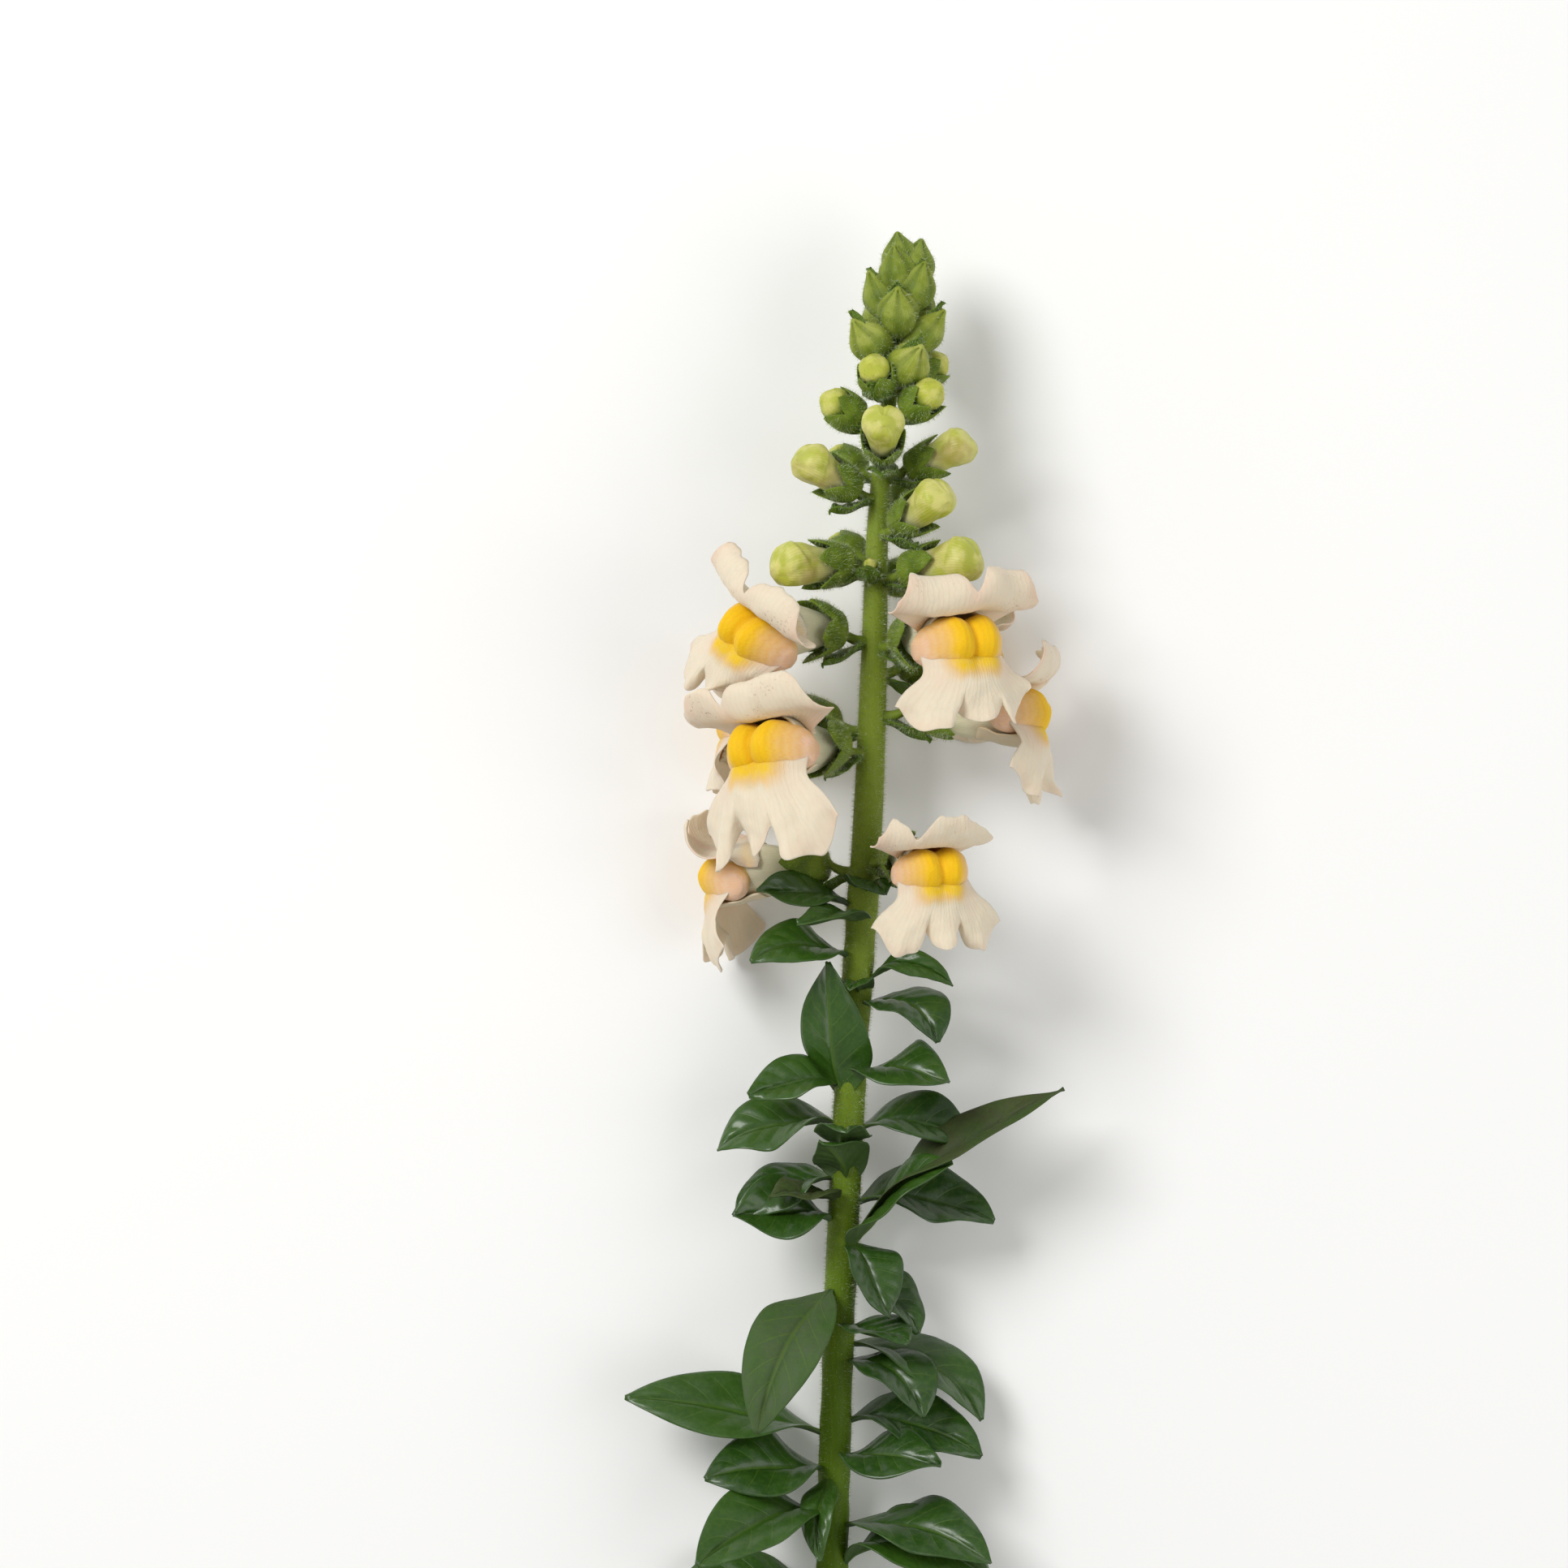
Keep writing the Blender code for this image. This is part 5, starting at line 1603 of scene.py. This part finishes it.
class SnapdragonColours(bpy.types.PropertyGroup):
    """Colours of petals, leaves, buds and table."""

    petal: colour_property("Petal", "Main colour of the petals", (0.77, 0.67, 0.52))
    petal_blush: colour_property("Petal blush", "Tint at the petals' margins", (0.80, 0.55, 0.43))
    petal_vein: colour_property("Petal veins", "Fine veins in the petals", (0.70, 0.58, 0.42))
    petal_base: colour_property("Petal tube", "Greenish white of the tube", (0.60, 0.61, 0.38))
    speck: colour_property("Specks", "Small brown specks on the upper lip", (0.34, 0.19, 0.10))
    palate_middle: colour_property("Palate middle", "Yellow of the palate", (0.84, 0.52, 0.008))
    # Palate orange colours the palate's streaks, and is also the painted shade in its middle crease.
    palate_orange: colour_property("Palate creases", "Orange in the palate's folds", (0.78, 0.36, 0.015))
    palate_side: colour_property("Palate sides", "Peach at the palate's sides", (0.78, 0.50, 0.20))
    bud: colour_property("Bud", "Lime of the closed buds", (0.47, 0.50, 0.065))
    # Pale yellow painted on the buds as highlights.
    bud_painted_highlight: colour_property("Bud highlights", "Pale yellow on the buds", (0.68, 0.64, 0.22))
    calyx: colour_property("Sepals", "Green of sepals and bracts", (0.080, 0.135, 0.010))
    calyx_light: colour_property("Light sepals", "Lighter green of ribs and points", (0.17, 0.25, 0.02))
    stem_top: colour_property("Upper stem", "Stem near the flowers", (0.22, 0.29, 0.030))
    stem_foot: colour_property("Lower stem", "Stem near the cut end", (0.065, 0.135, 0.002))
    stem_pith: colour_property("Pith", "Pale pith at the cut end", (0.62, 0.70, 0.42))
    leaf: colour_property("Leaf", "Dark green of the leaves", (0.012, 0.048, 0.003))
    leaf_light: colour_property("Light leaf", "Lighter patches of the leaves", (0.036, 0.100, 0.007))
    leaf_rib: colour_property("Leaf veins", "Yellow-green of midrib and stalk", (0.10, 0.18, 0.015))
    leaf_underside: colour_property("Leaf underside", "Grey-green underside", (0.060, 0.100, 0.035))
    leaf_brown: colour_property("Dull leaf", "Brown tinge of the dull leaves", (0.052, 0.062, 0.020))
    hair: colour_property("Hairs", "Fine white hairs", (0.66, 0.72, 0.50))
    table: colour_property("Table", "Pale table top", (0.93, 0.93, 0.92))
    table_shade: colour_property("Table patches", "Faint patches of the table top", (0.8, 0.8, 0.78))


def length_property(name, description, value):
    """A length in the panel."""
    return bpy.props.FloatProperty(
        name=name, description=description, subtype="DISTANCE", unit="LENGTH", min=0.0, default=value
    )


class SnapdragonSizes(bpy.types.PropertyGroup):
    """Sizes of petal margins, leaf relief and hairs."""

    petal_edge: length_property("Petal edge", "Thickness of a petal at its margin", 0.00024)
    ruffle: length_property("Ruffle", "Height of the small waves at the lower lip's margin", 0.0007)
    leaf_relief: length_property("Leaf relief", "How far a leaf is puffed between its veins", 0.00042)
    hair_length: length_property("Hair length", "Longest hair", 0.0011)
    hair_thickness: length_property("Hair thickness", "Thickness of a hair at its foot", 0.00009)
    hair_density: bpy.props.FloatProperty(
        name="Hair density", description="Hairs on a square millimetre", min=0.0, default=4.8
    )
    stalk_sides: bpy.props.IntProperty(
        name="Stalk sides", description="Sides of the stalk's section", min=8, default=40
    )


# Operators


class SNAPDRAGON_OT_stalk(bpy.types.Operator):
    """Sweep the stalk from its cut end to the tip"""

    bl_idname = "snapdragon.stalk"
    bl_label = "Stalk"

    def execute(self, context):
        sizes = context.scene.snapdragon_sizes
        shown, spiral = leaf_rows()
        joints = [row[0] for row, _, _ in shown + spiral]
        points, girths = [], []
        for y in spaced(CUT_END_Y, TIP_Y - 5.0, STALK_STATIONS):
            points.append(stem_centre(y) * MM)
            swelling = max(SWELLING * hump(y - joint, SWELLING_WIDTH) for joint in joints)
            girths.append((stem_radius(y) * STALK_SHARE + swelling) * MM)
        line = bpy.data.meshes.new("stalk_line")
        line.from_pydata(points, [(k, k + 1) for k in range(len(points) - 1)], [])
        line.attributes.new("girth", "FLOAT", "POINT").data.foreach_set("value", girths)
        piece = grown(
            "stalk",
            line,
            stalk_tree(),
            Sides=sizes.stalk_sides,
            Skin=shared_material(stem_material),
            Cut=shared_material(pith_material),
        )
        face_outward(piece.data)
        fuzz = [smooth((vert.co.y / MM - 180) / 160) * 0.9 + 0.1 for vert in piece.data.vertices]
        piece.data.attributes.new("fuzz", "FLOAT", "POINT").data.foreach_set("value", fuzz)
        rounded = [len(face.vertices) == 4 for face in piece.data.polygons]
        piece.data.polygons.foreach_set("use_smooth", rounded)
        settle(piece, "stem")
        return {"FINISHED"}


class SNAPDRAGON_OT_leaves(bpy.types.Operator):
    """Grow the leaves of the lower stem"""

    bl_idname = "snapdragon.leaves"
    bl_label = "Leaves"

    def execute(self, context):
        sizes = context.scene.snapdragon_sizes
        material = shared_material(leaf_material)
        draw = random.Random(5)
        for name, rows in zip(("leaves_seen", "leaves_below"), leaf_rows()):
            shells = Shells()
            for row, phase, clearance in rows:
                add_leaf(
                    shells,
                    row,
                    phase,
                    clearance,
                    columns=25,
                    rows=37,
                    veins=sizes.leaf_relief / MM,
                    tint=draw.uniform(0, 0.7),
                    dull=1.0 if row[:2] in DULL_LEAVES else 0.0,
                    turned=row[:2] in TURNED_LEAVES,
                )
            settle(shells.piece(name, material), "stem")
        return {"FINISHED"}


class SNAPDRAGON_OT_bracts(bpy.types.Operator):
    """Grow the small leaf under each floret and bud"""

    bl_idname = "snapdragon.bracts"
    bl_label = "Bracts"

    def execute(self, context):
        sizes = context.scene.snapdragon_sizes
        shells = Shells()
        for row in bract_rows():
            add_leaf(
                shells,
                row,
                phase=0.0,
                clearance=FLOOR_CLEARANCE,
                columns=13,
                rows=17,
                veins=0.5 * sizes.leaf_relief / MM,
                tint=0.3,
                fuzz=1.0,
            )
        settle(shells.piece("bracts", shared_material(calyx_material)), "stem")
        return {"FINISHED"}


class SNAPDRAGON_OT_calyces(bpy.types.Operator):
    """Make the stalked, five-pointed cup under each floret and coloured bud"""

    bl_idname = "snapdragon.calyces"
    bl_label = "Calyces"

    def execute(self, context):
        shells = Shells()
        for seed, (seat, _, _) in enumerate(floret_seats()):
            sepal_cup(shells, seat, SEPAL_TIP, SEPAL_VALLEY, 1.2, seed)
        for seed, (seat, _) in enumerate(bud_seats()):
            sepal_cup(shells, seat, BUD_SEPAL_TIP, BUD_SEPAL_VALLEY, 1.2, seed + 10)
        material = shared_material(calyx_material)
        settle(shells.piece("calyces", material), "stem")
        return {"FINISHED"}


class SNAPDRAGON_OT_green_buds(bpy.types.Operator):
    """Make the young buds in their sepals and the shut buds of the tip"""

    bl_idname = "snapdragon.green_buds"
    bl_label = "Green buds"

    def execute(self, context):
        shells = Shells()
        for seed, seat in enumerate(young_seats()):
            sepal_cup(shells, seat, YOUNG_SEPAL_TIP, YOUNG_SEPAL_VALLEY, 1.0, seed + 20)
            green_head(shells, seat, YOUNG_HEAD, 0.25, ripe=1.0)
        for k, (seat, *_) in enumerate(tip_places()):
            green_head(shells, seat, SHUT_BUD, 0.55, ripe=blend(0.5, 0.1, k / TIP_BUDS), glow=0.16)
        material = shared_material(calyx_material)
        settle(shells.piece("green_buds", material), "stem")
        return {"FINISHED"}


class SNAPDRAGON_OT_flowers(bpy.types.Operator):
    """Make the open florets: tube, upper lip and lower lip"""

    bl_idname = "snapdragon.flowers"
    bl_label = "Flowers"

    def execute(self, context):
        sizes = context.scene.snapdragon_sizes
        material = shared_material(petal_material)
        for seat, name, shape in floret_seats():
            settle(corolla(seat, name, shape, sizes, material), "corolla_" + name)
        return {"FINISHED"}


class SNAPDRAGON_OT_palates(bpy.types.Operator):
    """Make the yellow palate in each floret's mouth"""

    bl_idname = "snapdragon.palates"
    bl_label = "Palates"

    def execute(self, context):
        material = shared_material(palate_material)
        for seat, name, _ in floret_seats():
            settle(palate(seat, name, material), "palate_" + name)
        return {"FINISHED"}


class SNAPDRAGON_OT_buds(bpy.types.Operator):
    """Make the lime-coloured heads of the closed buds"""

    bl_idname = "snapdragon.buds"
    bl_label = "Closed buds"

    def execute(self, context):
        material = shared_material(bud_material)
        for seed, (seat, name) in enumerate(bud_seats()):
            shells = Shells()
            bud_head(shells, seat, 1.7 * seed)
            settle(shells.piece("closed_bud_" + name, material), "bud_" + name)
        return {"FINISHED"}


class SNAPDRAGON_OT_hairs(bpy.types.Operator):
    """Scatter fine hairs over the stalk, the bracts, the sepals and the green buds"""

    bl_idname = "snapdragon.hairs"
    bl_label = "Hairs"

    def execute(self, context):
        sizes = context.scene.snapdragon_sizes
        material = shared_material(hair_material)
        tree = hair_tree()
        for seed, name in enumerate(("stalk", "bracts", "calyces", "green_buds")):
            piece = grown(
                name + "_hairs",
                bpy.data.objects[name].data.copy(),
                tree,
                Density=sizes.hair_density / MM**2,
                Length=sizes.hair_length,
                Thickness=sizes.hair_thickness,
                Lean=0.45,
                Seed=seed + 1,
                Material=material,
            )
            settle(piece, "stem")
        return {"FINISHED"}


class SNAPDRAGON_OT_stage(bpy.types.Operator):
    """Set up the pale table, the soft light and the camera that looks straight down"""

    bl_idname = "snapdragon.stage"
    bl_label = "Table, light and camera"

    def execute(self, context):
        scene = context.scene
        mesh = bpy.data.meshes.new("table_top")
        signs = ((-1, -1), (1, -1), (1, 1), (-1, 1))
        corners = [(x * TABLE_REACH, y * TABLE_REACH, -TABLE_DROP) for x, y in signs]
        mesh.from_pydata(corners, [], [(0, 1, 2, 3)])
        mesh.materials.append(shared_material(floor_material))
        table = bpy.data.objects.new("table_top", mesh)
        scene.collection.objects.link(table)

        world = bpy.data.worlds.new("soft_room")
        world.use_nodes = True
        sky = world.node_tree.nodes["Background"]
        sky.inputs["Color"].default_value = (1.0, 0.99, 0.97, 1.0)
        sky.inputs["Strength"].default_value = ROOM_LIGHT
        scene.world = world
        for name, place, size, power in LAMPS:
            lamp = bpy.data.lights.new(name, "AREA")
            lamp.shape = "DISK"
            lamp.size = size
            lamp.energy = power
            light = bpy.data.objects.new(name, lamp)
            light.location = place
            aim = Vector(LIT_POINT) - Vector(place)
            light.rotation_euler = aim.to_track_quat("-Z", "Y").to_euler()
            scene.collection.objects.link(light)

        lens = bpy.data.cameras.new("camera")
        lens.lens = CAMERA_LENS
        lens.sensor_width = CAMERA_SENSOR
        lens.clip_end = 20.0
        camera = bpy.data.objects.new("camera", lens)
        height = VIEW_WIDTH * CAMERA_LENS / CAMERA_SENSOR + VIEW_HEIGHT
        camera.location = Vector((*VIEW_CENTRE, height)) * MM
        scene.collection.objects.link(camera)
        scene.camera = camera
        scene.view_settings.view_transform = "Standard"
        return {"FINISHED"}


OPERATORS = (
    SNAPDRAGON_OT_stage,
    SNAPDRAGON_OT_stalk,
    SNAPDRAGON_OT_leaves,
    SNAPDRAGON_OT_bracts,
    SNAPDRAGON_OT_calyces,
    SNAPDRAGON_OT_green_buds,
    SNAPDRAGON_OT_flowers,
    SNAPDRAGON_OT_palates,
    SNAPDRAGON_OT_buds,
    SNAPDRAGON_OT_hairs,
)


class SNAPDRAGON_PT_panel(bpy.types.Panel):
    """Everything that makes the snapdragon stem, in order"""

    bl_idname = "SNAPDRAGON_PT_panel"
    bl_label = "Snapdragon"
    bl_space_type = "VIEW_3D"
    bl_region_type = "UI"
    bl_category = "Snapdragon"

    def draw(self, context):
        layout = self.layout
        for operator in OPERATORS:
            layout.operator(operator.bl_idname)
        for group in (context.scene.snapdragon_sizes, context.scene.snapdragon_colours):
            box = layout.box()
            for name in group.__annotations__:
                box.prop(group, name)


CLASSES = (SnapdragonColours, SnapdragonSizes, *OPERATORS, SNAPDRAGON_PT_panel)


def register():
    """Add the operators, the panel and its properties."""
    for one in CLASSES:
        bpy.utils.register_class(one)
    bpy.types.Scene.snapdragon_colours = bpy.props.PointerProperty(type=SnapdragonColours)
    bpy.types.Scene.snapdragon_sizes = bpy.props.PointerProperty(type=SnapdragonSizes)


def unregister():
    """Take them away again, last one first."""
    del bpy.types.Scene.snapdragon_sizes
    del bpy.types.Scene.snapdragon_colours
    for one in reversed(CLASSES):
        bpy.utils.unregister_class(one)


def main():
    """Build every piece in order."""
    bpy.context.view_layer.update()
    register()
    for operator in OPERATORS:
        family, name = operator.bl_idname.split(".")
        getattr(getattr(bpy.ops, family), name)()


if __name__ == "__main__":
    main()
